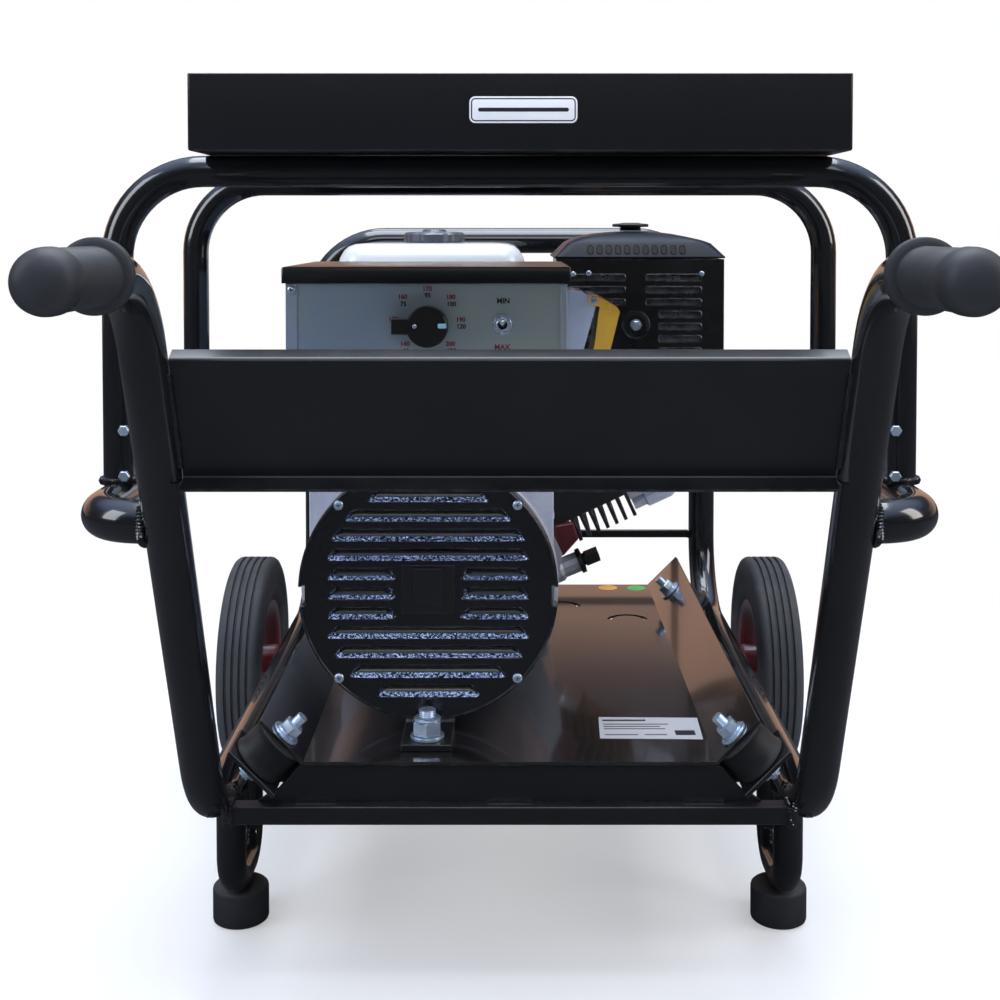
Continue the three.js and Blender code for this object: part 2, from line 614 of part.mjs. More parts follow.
function addCrankcase() {
  const foot = BED.topZ + FIT_GAP;
  const outline = [
    [-170, foot], [42, foot], [42, 217], [34, 222], [50, 262], [58, 304], [-14, 458],
    [-60, 462], [-110, 450], [-160, 410], [-186, 350], [-186, 270], [-170, 228],
  ];
  const cavity = rod(90, 20, onShaft(226), axisY, 134);
  const shaftBore = rod(20.6, 16, onShaft(ENGINE_Y - 1), axisY, 180);
  const neck = turned([
    [0, -12], [14, -12], [14, 4], [11.5, 8], [11.5, OIL_NECK.length], [0, OIL_NECK.length],
  ], 12, OIL_NECK.start, OIL_NECK.direction);
  const casting = join([prismY(outline, ENGINE_Y, 380), neck]);
  addPart('crankcase', cut(casting, [cavity, shaftBore]), CAST_ALUMINIUM);
}

/** The slanted cylinder: its own group is turned so that local +X runs up the bore. */
function addCylinder() {
  const group = new THREE.Group();
  group.position.set(SHAFT.x, 0, SHAFT.z);
  group.rotation.y = -CYLINDER_TILT;
  product.add(group);

  const base = 105.4;
  const fins = 9;
  const pitch = 11;
  const fin = 4;
  const core = 58;
  const finReach = 84;
  const lowerEdge = [];
  for (let i = 0; i < fins; i += 1) {
    const from = base + i * pitch;
    lowerEdge.push([from, -finReach], [from + fin, -finReach]);
    if (i < fins - 1) lowerEdge.push([from + fin, -core], [from + pitch, -core]);
  }
  const upperEdge = lowerEdge.map(([a, b]) => [a, -b]).reverse();
  const barrel = prismY([...lowerEdge, ...upperEdge], 218, 368);
  const cylinderBore = rod(44, 20, V(base - 1, 293, 0), axisX, fins * pitch + 2);
  addPart('cylinder', cut(barrel, [cylinderBore]), BLACK_PAINT, group);

  const headStart = base + (fins - 1) * pitch + fin + FIT_GAP;
  const headEnd = headStart + 48;
  addPart('rocker_cover', prismY([
    [headStart, -70], [headEnd - 10, -70], [headEnd, -58], [headEnd, 58], [headEnd - 10, 70],
    [headStart, 70],
  ], 240, 346), CAST_ALUMINIUM, group);

  addPart('plug_cap', turned([
    [0, 0], [7, 0], [7, 14], [10, 16], [10, 44], [7, 50], [0, 50],
  ], 10, V(headStart + 1, 268, -82), axisX), SILVER_SHEET, group);
}

function addExhaust() {
  const { x0, x1, y0, y1, z0, z1 } = GUARD;
  const muffler = cut(prismX([
    [240, 545], [252, 533], [318, 533], [330, 545], [330, 600], [318, 612], [252, 612], [240, 600],
  ], 66, 224), [
    prismX([[242, 547], [254, 535], [316, 535], [328, 547], [328, 598], [316, 610], [254, 610],
      [242, 598]], 68, 222),
    rod(12, 12, V(215, 285, 572), axisX, 20),
  ]);
  addPart('muffler', muffler, STEEL);

  const sheet = 2;
  const shell = cut(block(x0, x1, y0, y1, z0, z1), [
    block(x0 + sheet, x1 - sheet, y0 + sheet, y1 + 1, z0 - 1, z1 - sheet),
  ]);
  const louvres = [];
  const rowPitch = 13.6;
  const slotHeight = 6;
  for (let row = 0; row < 7; row += 1) {
    const z = 607.6 - row * rowPitch;
    const leftEnd = row < 3 ? 127 : 108;
    const rightStart = row < 3 ? 151.6 : 166;
    for (const [from, to] of [[66, leftEnd], [rightStart, 211.5]]) {
      louvres.push(block(from, to, y0 - 1, y0 + sheet + 1, z - slotHeight / 2, z + slotHeight / 2));
    }
  }
  addPart('muffler_guard', cut(shell, louvres), BLACK_PAINT);
}

function addAirCleaner() {
  const { y1, z0, z1, knobX, knobY } = CLEANER;
  const { x0, x1, y0 } = GUARD;
  const outer = [
    [x0 - 2, z0], [x1 + 2, z0], [x1 + 2, z0 + 5], [x1 - 16, z0 + 17], [x1 - 48, z1], [x0 + 40, z1],
    [x0 + 14, z0 + 16], [x0 - 2, z0 + 5],
  ];
  const skin = 3;
  const inner = [
    [x0 + skin, z0 - 1], [x1 - skin, z0 - 1], [x1 - skin, z0 + 4], [x1 - 19, z0 + 13],
    [x1 - 50, z1 - skin], [x0 + 43, z1 - skin], [x0 + 17, z0 + 13], [x0 + skin, z0 + 4],
  ];
  const slots = Array.from({ length: 11 }, (_, i) =>
    block(87 + i * 10.2, 93 + i * 10.2, y0 - 1, y0 + skin + 1, z0 + 3.5, z0 + 13.5));
  addPart('air_cleaner_cover', cut(prismY(outer, y0, y1), [
    prismY(inner, y0 + skin, y1 - skin), ...slots,
  ]), BLACK_PLASTIC);
  addPart('air_cleaner_knob', turned([
    [0, 0], [12, 0], [13, 4], [21, 4.5], [21, 8], [9, 9.5], [0, 9.5],
  ], 14, V(knobX, knobY, z1 + FIT_GAP), axisZ), BLACK_PLASTIC);
}

function addFuelTank() {
  const { x0, x1, y0, y1, z0, z1, wall } = TANK;
  const outline = (inset) => {
    const corner = 34 - inset;
    const [a, b, c, d] = [x0 + inset, x1 - inset, y0 + inset, y1 - inset];
    const round = (cx, cy, start) => Array.from({ length: 4 }, (_, i) => {
      const angle = start + (i * Math.PI) / 6;
      return [cx + corner * Math.cos(angle), cy + corner * Math.sin(angle)];
    });
    return [
      ...round(b - corner, d - corner, 0), ...round(a + corner, d - corner, Math.PI / 2),
      ...round(a + corner, c + corner, Math.PI), ...round(b - corner, c + corner, 1.5 * Math.PI),
    ];
  };
  const lower = prism(outline(0), z1 - 14 - z0).translate(0, 0, z0);
  const crown = prism(outline(12), 14.5).translate(0, 0, z1 - 14.5);
  const hollow = prism(outline(12 + wall), z1 - z0 - 2 * wall).translate(0, 0, z0 + wall);
  const filler = rod(26, 16, V(CAP.x, CAP.y, z1 - 20), axisZ, 30);
  addPart('fuel_tank', cut(join([lower, crown]), [hollow, filler]), TANK_WHITE);
  addPart('fuel_cap', turned([
    [0, 0], [CAP.radius, 0], [CAP.radius, 9], [CAP.radius - 4, 13], [14, 13], [12, 16], [0, 16],
  ], 16, V(CAP.x, CAP.y, z1 + FIT_GAP), axisZ), BLACK_PLASTIC);
}

function addStarter() {
  const { y0, y1 } = FLYWHEEL_Y;
  addPart('fan_housing', turned([
    [40, y0], [128, y0], [128, y1], [123, y1], [123, y0 + 5], [40, y0 + 5], [40, y0],
  ], 24, onShaft(0), axisY), BLACK_PAINT);
  addPart('flywheel', turned([
    [14.3, 396], [104, 396], [112, 402], [112, 440], [60, 440], [50, 456], [14.3, 456], [14.3, 396],
  ], 20, onShaft(0), axisY), CAST_ALUMINIUM);

  const front = y1 + FIT_GAP;
  const cover = turned([
    [0, RECOIL_END_Y - 4], [68, RECOIL_END_Y - 4], [100, 500], [119, 482],
    [119, front], [124, front], [124, 484], [104, 505], [70, RECOIL_END_Y], [0, RECOIL_END_Y],
  ], 24, onShaft(0), axisY);
  const ropeHole = rod(4.5, 8, V(PULL.x, PULL.y, SHAFT.z + 60), axisZ, 80);
  addPart('recoil_cover', cut(cover, [ropeHole]), BLACK_PAINT);

  const gripHalf = 30;
  addPart('recoil_handle', join([
    rod(2.4, 8, V(PULL.x, PULL.y, PULL.bottomZ), axisZ, PULL.grip - PULL.bottomZ + 4),
    prismX([
      [PULL.y - 9, PULL.grip + 4], [PULL.y - 5, PULL.grip], [PULL.y + 5, PULL.grip],
      [PULL.y + 9, PULL.grip + 4], [PULL.y + 9, PULL.grip + 16], [PULL.y + 5, PULL.grip + 22],
      [PULL.y - 5, PULL.grip + 22], [PULL.y - 9, PULL.grip + 16],
    ], PULL.x - gripHalf, PULL.x + gripHalf),
  ]), BLACK_PLASTIC);
}

function addEngineFittings() {
  const { start, direction: upRight, length } = OIL_NECK;
  const capStart = start.clone().addScaledVector(upRight, length + FIT_GAP);
  const stem = turned([[0, 0], [14, 0], [14, 5], [7, 6], [7, 10], [0, 10]], 10, capStart, upRight);
  const grip = new THREE.BoxGeometry(16, 26, 11).translate(16, 0, 0)
    .rotateY(-0.39).translate(capStart.x, capStart.y, capStart.z);
  addPart('oil_dipstick', join([stem, grip]), BLACK_PLASTIC);

  addPart('carburettor', join([
    rod(17, 12, V(150, 376, 536), axisY, 52),
    rod(20, 12, V(150, 402, 486), axisZ, 42),
  ]), CAST_ALUMINIUM);

  // The stop switch is a rocker on the crankcase wall, resting with its lower half pressed in.
  const pressed = THREE.MathUtils.degToRad(7);
  const rocker = prismY([
    [0, -2], [0, 2], [-1.8, 11], [-7.5, 11], [-5.5, 0], [-7.5, -11], [-1.8, -11],
  ], 0, 22).rotateY(-pressed);
  rocker.translate(SWITCH.x, SWITCH.y, SWITCH.z);
  addPart('engine_switch', rocker, RED_PAINT);
}

addFrame();
addHandlePanel();
addTray();
addGrips();
addFeet();
addBed();
addRubberMounts();
addStandNut();
addWheels();
addAlternatorCover();
addAlternator();
addControlBox();
addSocket();
addCrankcase();
addCylinder();
addExhaust();
addAirCleaner();
addFuelTank();
addStarter();
addEngineFittings();

export default product;
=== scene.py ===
"""A wheeled welding generator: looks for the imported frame, in metres, +Z up, +Y away from the handles."""
import bpy
import bmesh
import numpy as np
from math import atan2, cos, pi, radians, sin, sqrt, tan
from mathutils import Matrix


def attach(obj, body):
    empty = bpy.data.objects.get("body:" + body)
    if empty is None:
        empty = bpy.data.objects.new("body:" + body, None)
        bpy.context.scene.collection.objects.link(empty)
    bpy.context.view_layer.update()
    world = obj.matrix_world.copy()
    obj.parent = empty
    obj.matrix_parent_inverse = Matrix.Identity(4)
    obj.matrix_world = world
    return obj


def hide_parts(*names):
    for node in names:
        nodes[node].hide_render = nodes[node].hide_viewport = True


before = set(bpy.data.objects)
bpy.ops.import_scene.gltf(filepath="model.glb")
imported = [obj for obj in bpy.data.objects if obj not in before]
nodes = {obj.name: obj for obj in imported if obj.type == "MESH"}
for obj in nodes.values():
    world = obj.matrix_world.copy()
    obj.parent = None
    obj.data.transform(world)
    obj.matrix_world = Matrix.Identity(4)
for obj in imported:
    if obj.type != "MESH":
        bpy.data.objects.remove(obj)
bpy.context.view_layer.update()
mm = 0.001

# ------------------------------------------------------------------ the room
# A pale matt floor, a cool sky overhead, and large soft lamps above and beside the machine.
# The horizon that the gloss paint mirrors is a quiet earth brown; straight to the eye it is white.

floor_mesh = bpy.data.meshes.new("floor")
floor_mesh.from_pydata([(-9, -9, -0.0004), (9, -9, -0.0004), (9, 14, -0.0004), (-9, 14, -0.0004)], [],
                       [(0, 1, 2, 3)])
floor = bpy.data.objects.new("floor", floor_mesh)
bpy.context.scene.collection.objects.link(floor)
floor_paint = bpy.data.materials.new("pale_floor")
floor_paint.use_nodes = True
floor_shader = floor_paint.node_tree.nodes["Principled BSDF"]
floor_noise = floor_paint.node_tree.nodes.new("ShaderNodeTexNoise")
floor_noise.inputs["Scale"].default_value = 3.0
floor_tint = floor_paint.node_tree.nodes.new("ShaderNodeMix")
floor_tint.data_type = "RGBA"
floor_tint.inputs["A"].default_value = (0.93, 0.925, 0.92, 1)
floor_tint.inputs["B"].default_value = (0.96, 0.955, 0.95, 1)
floor_paint.node_tree.links.new(floor_noise.outputs["Fac"], floor_tint.inputs["Factor"])
floor_paint.node_tree.links.new(floor_tint.outputs["Result"], floor_shader.inputs["Base Color"])
floor_shader.inputs["Roughness"].default_value = 0.9
# Far from the machine the floor runs out into plain white; glossy rays see the floor as a dark grey instead,
# a painted dark reflection in the gloss paint.
floor_tree = floor_paint.node_tree
floor_place = floor_tree.nodes.new("ShaderNodeTexCoord")
floor_reach = floor_tree.nodes.new("ShaderNodeVectorMath")
floor_reach.operation = "LENGTH"
floor_far = floor_tree.nodes.new("ShaderNodeMapRange")
floor_far.inputs["From Min"].default_value = 0.35
floor_far.inputs["From Max"].default_value = 1.3
floor_far.inputs["To Min"].default_value = 0.38
floor_far.interpolation_type = "SMOOTHSTEP"
floor_ray = floor_tree.nodes.new("ShaderNodeLightPath")
floor_open = floor_tree.nodes.new("ShaderNodeMath")
floor_open.operation = "MULTIPLY"
floor_white = floor_tree.nodes.new("ShaderNodeEmission")
# The dark grey that glossy rays see in place of the pale floor: a painted reflection.
floor_painted_dark_reflection = floor_tree.nodes.new("ShaderNodeBsdfDiffuse")
floor_painted_dark_reflection.inputs["Color"].default_value = (0.055, 0.052, 0.053, 1)
floor_seen = floor_tree.nodes.new("ShaderNodeMixShader")
floor_mirrored = floor_tree.nodes.new("ShaderNodeMixShader")
floor_tree.links.new(floor_place.outputs["Object"], floor_reach.inputs[0])
floor_tree.links.new(floor_reach.outputs["Value"], floor_far.inputs["Value"])
floor_tree.links.new(floor_far.outputs["Result"], floor_open.inputs[0])
floor_tree.links.new(floor_ray.outputs["Is Camera Ray"], floor_open.inputs[1])
floor_tree.links.new(floor_open.outputs[0], floor_seen.inputs["Fac"])
floor_tree.links.new(floor_shader.outputs[0], floor_seen.inputs[1])
floor_tree.links.new(floor_white.outputs[0], floor_seen.inputs[2])
floor_tree.links.new(floor_ray.outputs["Is Glossy Ray"], floor_mirrored.inputs["Fac"])
floor_tree.links.new(floor_seen.outputs[0], floor_mirrored.inputs[1])
floor_tree.links.new(floor_painted_dark_reflection.outputs[0], floor_mirrored.inputs[2])
floor_tree.links.new(floor_mirrored.outputs[0], floor_tree.nodes["Material Output"].inputs["Surface"])
floor_mesh.materials.append(floor_paint)

world = bpy.data.worlds.new("open_sky")
world.use_nodes = True
bpy.context.scene.world = world
sky = world.node_tree
sky_up = sky.nodes.new("ShaderNodeTexCoord")
sky_split = sky.nodes.new("ShaderNodeSeparateXYZ")
sky_ramp = sky.nodes.new("ShaderNodeValToRGB")
sky_ramp.color_ramp.elements[0].position = 0.40
sky_ramp.color_ramp.elements[0].color = (0.07, 0.06, 0.055, 1)
sky_ramp.color_ramp.elements[1].position = 1.0
sky_ramp.color_ramp.elements[1].color = (1.0, 1.2, 1.65, 1)
for place, colour in ((0.50, (0.06, 0.055, 0.055, 1)), (0.60, (0.035, 0.04, 0.05, 1)),
                      (0.73, (0.07, 0.085, 0.12, 1)), (0.82, (0.36, 0.46, 0.78, 1))):
    sky_ramp.color_ramp.elements.new(place).color = colour
sky_half = sky.nodes.new("ShaderNodeMath")
sky_half.operation = "MULTIPLY_ADD"
sky_half.inputs[1].default_value = 0.5
sky_half.inputs[2].default_value = 0.5
sky_light = sky.nodes["Background"]
sky_white = sky.nodes.new("ShaderNodeBackground")
sky_white.inputs["Color"].default_value = (1, 1, 1, 1)
sky_white.inputs["Strength"].default_value = 1.0
sky_choice = sky.nodes.new("ShaderNodeMixShader")
sky_eye = sky.nodes.new("ShaderNodeLightPath")
sky.links.new(sky_up.outputs["Generated"], sky_split.inputs[0])
sky.links.new(sky_split.outputs["Z"], sky_half.inputs[0])
sky.links.new(sky_half.outputs[0], sky_ramp.inputs["Fac"])
# Beyond the machine, low in the sky, stands a sunlit earth-coloured bank.
bank_far = sky.nodes.new("ShaderNodeMapRange")
bank_far.inputs["From Min"].default_value, bank_far.inputs["From Max"].default_value = 0.30, 0.80
bank_low = sky.nodes.new("ShaderNodeMapRange")
bank_low.inputs["From Min"].default_value, bank_low.inputs["From Max"].default_value = 0.305, 0.262
bank_share = sky.nodes.new("ShaderNodeMath")
bank_share.operation = "MULTIPLY"
bank_mix = sky.nodes.new("ShaderNodeMix")
bank_mix.data_type = "RGBA"
bank_mix.inputs["B"].default_value = (0.62, 0.38, 0.28, 1)
sky.links.new(sky_split.outputs["Y"], bank_far.inputs["Value"])
sky.links.new(sky_split.outputs["Z"], bank_low.inputs["Value"])
sky.links.new(bank_far.outputs["Result"], bank_share.inputs[0])
sky.links.new(bank_low.outputs["Result"], bank_share.inputs[1])
sky.links.new(bank_share.outputs[0], bank_mix.inputs["Factor"])
sky.links.new(sky_ramp.outputs["Color"], bank_mix.inputs["A"])
sky.links.new(bank_mix.outputs["Result"], sky_light.inputs["Color"])
sky.links.new(sky_eye.outputs["Is Camera Ray"], sky_choice.inputs["Fac"])
sky.links.new(sky_light.outputs[0], sky_choice.inputs[1])
sky.links.new(sky_white.outputs[0], sky_choice.inputs[2])
sky.links.new(sky_choice.outputs[0], sky.nodes["World Output"].inputs["Surface"])


def lamp(name, place, aim, width, height, watts, colour):
    """A rectangular soft lamp at a place, its flat face turned to look at the aim point."""
    light = bpy.data.lights.new(name, "AREA")
    light.shape = "RECTANGLE"
    light.size, light.size_y = width, height
    light.energy = watts
    light.color = colour
    holder = bpy.data.objects.new(name, light)
    bpy.context.scene.collection.objects.link(holder)
    holder.location = place
    from_to = np.subtract(aim, place)
    holder.rotation_euler = (atan2(np.hypot(from_to[0], from_to[1]), -from_to[2]), 0,
                             atan2(from_to[1], from_to[0]) - pi / 2)
    return holder


lamp("overhead", (0.1, 0.1, 3.4), (0, 0.1, 0.3), 2.6, 2.6, 105, (0.93, 0.97, 1.0))
lamp("left_window", (-3.0, -1.6, 2.1), (0, 0, 0.35), 1.6, 2.4, 52, (0.90, 0.95, 1.0))
lamp("right_window", (3.0, -0.8, 1.9), (0, 0, 0.35), 1.2, 2.2, 40, (1.0, 0.97, 0.92))
lamp("front_fill", (0.2, -3.4, 2.6), (0, 0, 0.4), 2.6, 1.2, 22, (1.0, 0.99, 0.97))
lamp("back_sky", (0.0, 2.6, 3.6), (0, 0.2, 0.4), 2.0, 1.2, 22, (0.80, 0.90, 1.0))

bpy.context.scene.view_settings.view_transform = "Standard"
eye = bpy.data.cameras.new("eye")
eye.sensor_width = 36
eye.lens = 50.58
eye.shift_x, eye.shift_y = -0.0097, -0.222
eye.clip_end = 60
camera = bpy.data.objects.new("eye", eye)
bpy.context.scene.collection.objects.link(camera)
camera.location = (0, -1.3322, 0.6615)
camera.rotation_euler = (radians(88), 0, 0)
bpy.context.scene.camera = camera

# ------------------------------------------------------------------ frame tubes
# The barrow frame is bent from drawn steel tube, welded end to end and where tubes cross.
# It is sprayed in thick gloss black: a faint orange peel, dust on top, paint thin at the edges.


def patterns(name, inputs, outputs):
    """An empty shader group with the named number inputs and the named outputs."""
    group = bpy.data.node_groups.new(name, "ShaderNodeTree")
    for label, value in inputs.items():
        group.interface.new_socket(label, in_out="INPUT", socket_type="NodeSocketFloat").default_value = value
    for label, kind in outputs.items():
        group.interface.new_socket(label, in_out="OUTPUT", socket_type=kind)
    return group, group.nodes.new("NodeGroupInput"), group.nodes.new("NodeGroupOutput")


def node(tree, kind, settings=None, **values):
    """A node with its settings and its unlinked inputs filled in; underscores stand for spaces."""
    made = tree.nodes.new(kind)
    for key, value in (settings or {}).items():
        setattr(made, key, value)
    for key, value in values.items():
        slot_name = int(key[1:]) if key[0] == "i" and key[1:].isdigit() else key.replace("_", " ")
        made.inputs[slot_name].default_value = value
    return made


# Grain: a fine noise for the pores and a wide one for the skin's orange peel, added as one height.
grain, grain_in, grain_out = patterns("surface_grain", {"Fine": 900, "Wide": 90, "Share": 0.5},
                                      {"Height": "NodeSocketFloat"})
place = node(grain, "ShaderNodeTexCoord")
fine = node(grain, "ShaderNodeTexNoise", Detail=3.0, Roughness=0.6)
wide = node(grain, "ShaderNodeTexNoise", Detail=1.0)
blend = node(grain, "ShaderNodeMix")
for noise, label in ((fine, "Fine"), (wide, "Wide")):
    grain.links.new(place.outputs["Object"], noise.inputs["Vector"])
    grain.links.new(grain_in.outputs[label], noise.inputs["Scale"])
grain.links.new(grain_in.outputs["Share"], blend.inputs["Factor"])
grain.links.new(fine.outputs["Fac"], blend.inputs["A"])
grain.links.new(wide.outputs["Fac"], blend.inputs["B"])
grain.links.new(blend.outputs["Result"], grain_out.inputs["Height"])

# Mottle: slow cloudy change of tone over a hand's width, used for colour and roughness.
mottle, mottle_in, mottle_out = patterns("slow_mottle", {"Scale": 9}, {"Tone": "NodeSocketFloat"})
place = node(mottle, "ShaderNodeTexCoord")
cloud = node(mottle, "ShaderNodeTexNoise", Detail=4.0, Roughness=0.62, Distortion=0.4)
mottle.links.new(place.outputs["Object"], cloud.inputs["Vector"])
mottle.links.new(mottle_in.outputs["Scale"], cloud.inputs["Scale"])
stretch = node(mottle, "ShaderNodeMapRange", From_Min=0.32, From_Max=0.68)
mottle.links.new(cloud.outputs["Fac"], stretch.inputs["Value"])
mottle.links.new(stretch.outputs["Result"], mottle_out.inputs["Tone"])

# Edge wear: where a softened normal leaves the true one, broken up by noise.
wear, wear_in, wear_out = patterns("edge_wear", {"Width": 0.0012, "Break": 160}, {"Mask": "NodeSocketFloat"})
true_normal = node(wear, "ShaderNodeNewGeometry")
soft_normal = node(wear, "ShaderNodeBevel", {"samples": 3})
agree = node(wear, "ShaderNodeVectorMath", {"operation": "DOT_PRODUCT"})
leave = node(wear, "ShaderNodeMapRange", From_Min=0.995, From_Max=0.86)
place = node(wear, "ShaderNodeTexCoord")
chips = node(wear, "ShaderNodeTexNoise", Detail=3.0)
broken = node(wear, "ShaderNodeMapRange", From_Min=0.42, From_Max=0.62)
both = node(wear, "ShaderNodeMath", {"operation": "MULTIPLY"})
wear.links.new(wear_in.outputs["Width"], soft_normal.inputs["Radius"])
wear.links.new(true_normal.outputs["Normal"], agree.inputs[0])
wear.links.new(soft_normal.outputs["Normal"], agree.inputs[1])
wear.links.new(agree.outputs["Value"], leave.inputs["Value"])
wear.links.new(place.outputs["Object"], chips.inputs["Vector"])
wear.links.new(wear_in.outputs["Break"], chips.inputs["Scale"])
wear.links.new(chips.outputs["Fac"], broken.inputs["Value"])
wear.links.new(leave.outputs["Result"], both.inputs[0])
wear.links.new(broken.outputs["Result"], both.inputs[1])
wear.links.new(both.outputs[0], wear_out.inputs["Mask"])

# Dust: lies on what faces up, thicker in clouds.
dust, dust_in, dust_out = patterns("settled_dust", {"Scale": 26}, {"Mask": "NodeSocketFloat"})
facing = node(dust, "ShaderNodeNewGeometry")
upward = node(dust, "ShaderNodeSeparateXYZ")
lies = node(dust, "ShaderNodeMapRange", From_Min=0.25, From_Max=1.0)
place = node(dust, "ShaderNodeTexCoord")
drift = node(dust, "ShaderNodeTexNoise", Detail=5.0, Roughness=0.7)
gather = node(dust, "ShaderNodeMapRange", From_Min=0.38, From_Max=0.75)
both = node(dust, "ShaderNodeMath", {"operation": "MULTIPLY"})
dust.links.new(facing.outputs["Normal"], upward.inputs[0])
dust.links.new(upward.outputs["Z"], lies.inputs["Value"])
dust.links.new(place.outputs["Object"], drift.inputs["Vector"])
dust.links.new(dust_in.outputs["Scale"], drift.inputs["Scale"])
dust.links.new(drift.outputs["Fac"], gather.inputs["Value"])
dust.links.new(lies.outputs["Result"], both.inputs[0])
dust.links.new(gather.outputs["Result"], both.inputs[1])
dust.links.new(both.outputs[0], dust_out.inputs["Mask"])


def finish(name, colour, rough, metal=0.0, coat=0.0, coat_rough=0.08, fine=900, wide=90, share=0.5,
           bump=0.1, depth=0.0002, vary=0.12, tone=None, tone_scale=9, rough_swing=0.08,
           worn=(0.3, 0.3, 0.31), wear_amount=0.5, wear_width=0.0012, dusty=0.12,
           specular=0.5):
    """A finish: base tone mottled towards a second tone, bare or paler at worn edges, dust on top;
    roughness = base + swing x mottle; bump = height of the two grains."""
    made = bpy.data.materials.new(name)
    made.use_nodes = True
    tree = made.node_tree
    shader = tree.nodes["Principled BSDF"]
    shader.inputs["Coat Weight"].default_value = coat
    shader.inputs["Coat Roughness"].default_value = coat_rough
    shader.inputs["Metallic"].default_value = metal
    shader.inputs["Specular IOR Level"].default_value = specular
    second = tone or tuple(c * (1 - 2 * vary) for c in colour)
    dust_colour = (0.33, 0.30, 0.26)

    def use(group, **values):
        """A shared pattern placed in this finish with its own values."""
        placed = tree.nodes.new("ShaderNodeGroup")
        placed.node_tree = group
        for key, value in values.items():
            placed.inputs[key].default_value = value
        return placed

    cloudy = use(mottle, Scale=tone_scale)
    base = node(tree, "ShaderNodeMix", {"data_type": "RGBA"}, A=(*colour, 1), B=(*second, 1))
    base.name = "Base Tones"
    tree.links.new(cloudy.outputs["Tone"], base.inputs["Factor"])
    result = base
    if wear_amount:
        edges = use(wear, Width=wear_width, Break=160)
        some = node(tree, "ShaderNodeMath", {"operation": "MULTIPLY"}, i1=wear_amount)
        worn_mix = node(tree, "ShaderNodeMix", {"data_type": "RGBA"}, B=(*worn, 1))
        tree.links.new(edges.outputs["Mask"], some.inputs[0])
        tree.links.new(some.outputs[0], worn_mix.inputs["Factor"])
        tree.links.new(result.outputs["Result"], worn_mix.inputs["A"])
        result = worn_mix
    rough_node = node(tree, "ShaderNodeMapRange", To_Min=rough, To_Max=min(1.0, rough + rough_swing))
    tree.links.new(cloudy.outputs["Tone"], rough_node.inputs["Value"])
    rough_out = rough_node.outputs["Result"]
    if dusty:
        film = use(dust, Scale=26)
        some = node(tree, "ShaderNodeMath", {"operation": "MULTIPLY"}, i1=dusty)
        dust_mix = node(tree, "ShaderNodeMix", {"data_type": "RGBA"}, B=(*dust_colour, 1))
        tree.links.new(film.outputs["Mask"], some.inputs[0])
        tree.links.new(some.outputs[0], dust_mix.inputs["Factor"])
        tree.links.new(result.outputs["Result"], dust_mix.inputs["A"])
        result = dust_mix
        duller = node(tree, "ShaderNodeMath", {"operation": "MULTIPLY_ADD", "use_clamp": True}, i1=0.5)
        tree.links.new(some.outputs[0], duller.inputs[0])
        tree.links.new(rough_out, duller.inputs[2])
        rough_out = duller.outputs[0]
    tree.links.new(result.outputs["Result"], shader.inputs["Base Color"])
    tree.links.new(rough_out, shader.inputs["Roughness"])
    grains = use(grain, Fine=fine, Wide=wide, Share=share)
    raised = node(tree, "ShaderNodeBump", Strength=bump, Distance=depth)
    tree.links.new(grains.outputs["Height"], raised.inputs["Height"])
    tree.links.new(raised.outputs["Normal"], shader.inputs["Normal"])
    return made


def carried(sections, along=False, caps=True):
    """One closed skin through a stack of loops: quads between loop i and i+1, point j and j+1;
    `along` joins the last loop to the first, otherwise both ends are capped."""
    sections = np.asarray(sections, float)
    rows, cols = sections.shape[:2]
    i = np.arange(rows if along else rows - 1)[:, None]
    j = np.arange(cols)[None, :]
    up, right = (i + 1) % rows, (j + 1) % cols
    faces = np.stack([i * cols + j, i * cols + right, up * cols + right, up * cols + j], -1)
    faces = faces.reshape(-1, 4).tolist()
    if caps and not along:
        faces += [list(range(cols)), list(range((rows - 1) * cols, rows * cols))]
    return sections.reshape(-1, 3), faces


def piece(name, shells, material, body="frame", stands_for=(), sharp=35,
          bevel=None):
    """Joins skins into one mesh at the origin: doubles merged, faces turned outwards, smooth up to
    the sharp angle, edges rounded by a bevel of (width, segments) if asked, riding on its body."""
    starts = np.cumsum([0] + [len(points) for points, _ in shells])
    points = np.vstack([points for points, _ in shells])
    faces = [[corner + start for corner in face] for (_, own), start in zip(shells, starts) for face in own]
    mesh = bpy.data.meshes.new(name)
    mesh.from_pydata(points.tolist(), [], faces)
    shape = bmesh.new()
    shape.from_mesh(mesh)
    bmesh.ops.remove_doubles(shape, verts=shape.verts, dist=2e-6)
    bmesh.ops.dissolve_degenerate(shape, edges=shape.edges, dist=1e-6)
    bmesh.ops.recalc_face_normals(shape, faces=shape.faces)
    shape.to_mesh(mesh)
    shape.free()
    mesh.shade_smooth()
    mesh.set_sharp_from_angle(angle=radians(sharp))
    made = bpy.data.objects.new(name, mesh)
    bpy.context.scene.collection.objects.link(made)
    mesh.materials.append(material)
    if bevel:
        rounding = made.modifiers.new("rounded_edges", "BEVEL")
        rounding.width, rounding.segments = bevel
        rounding.limit_method = "ANGLE"
        rounding.angle_limit = radians(30)
    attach(made, body)
    if stands_for:
        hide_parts(*([stands_for] if isinstance(stands_for, str) else stands_for))
    return made


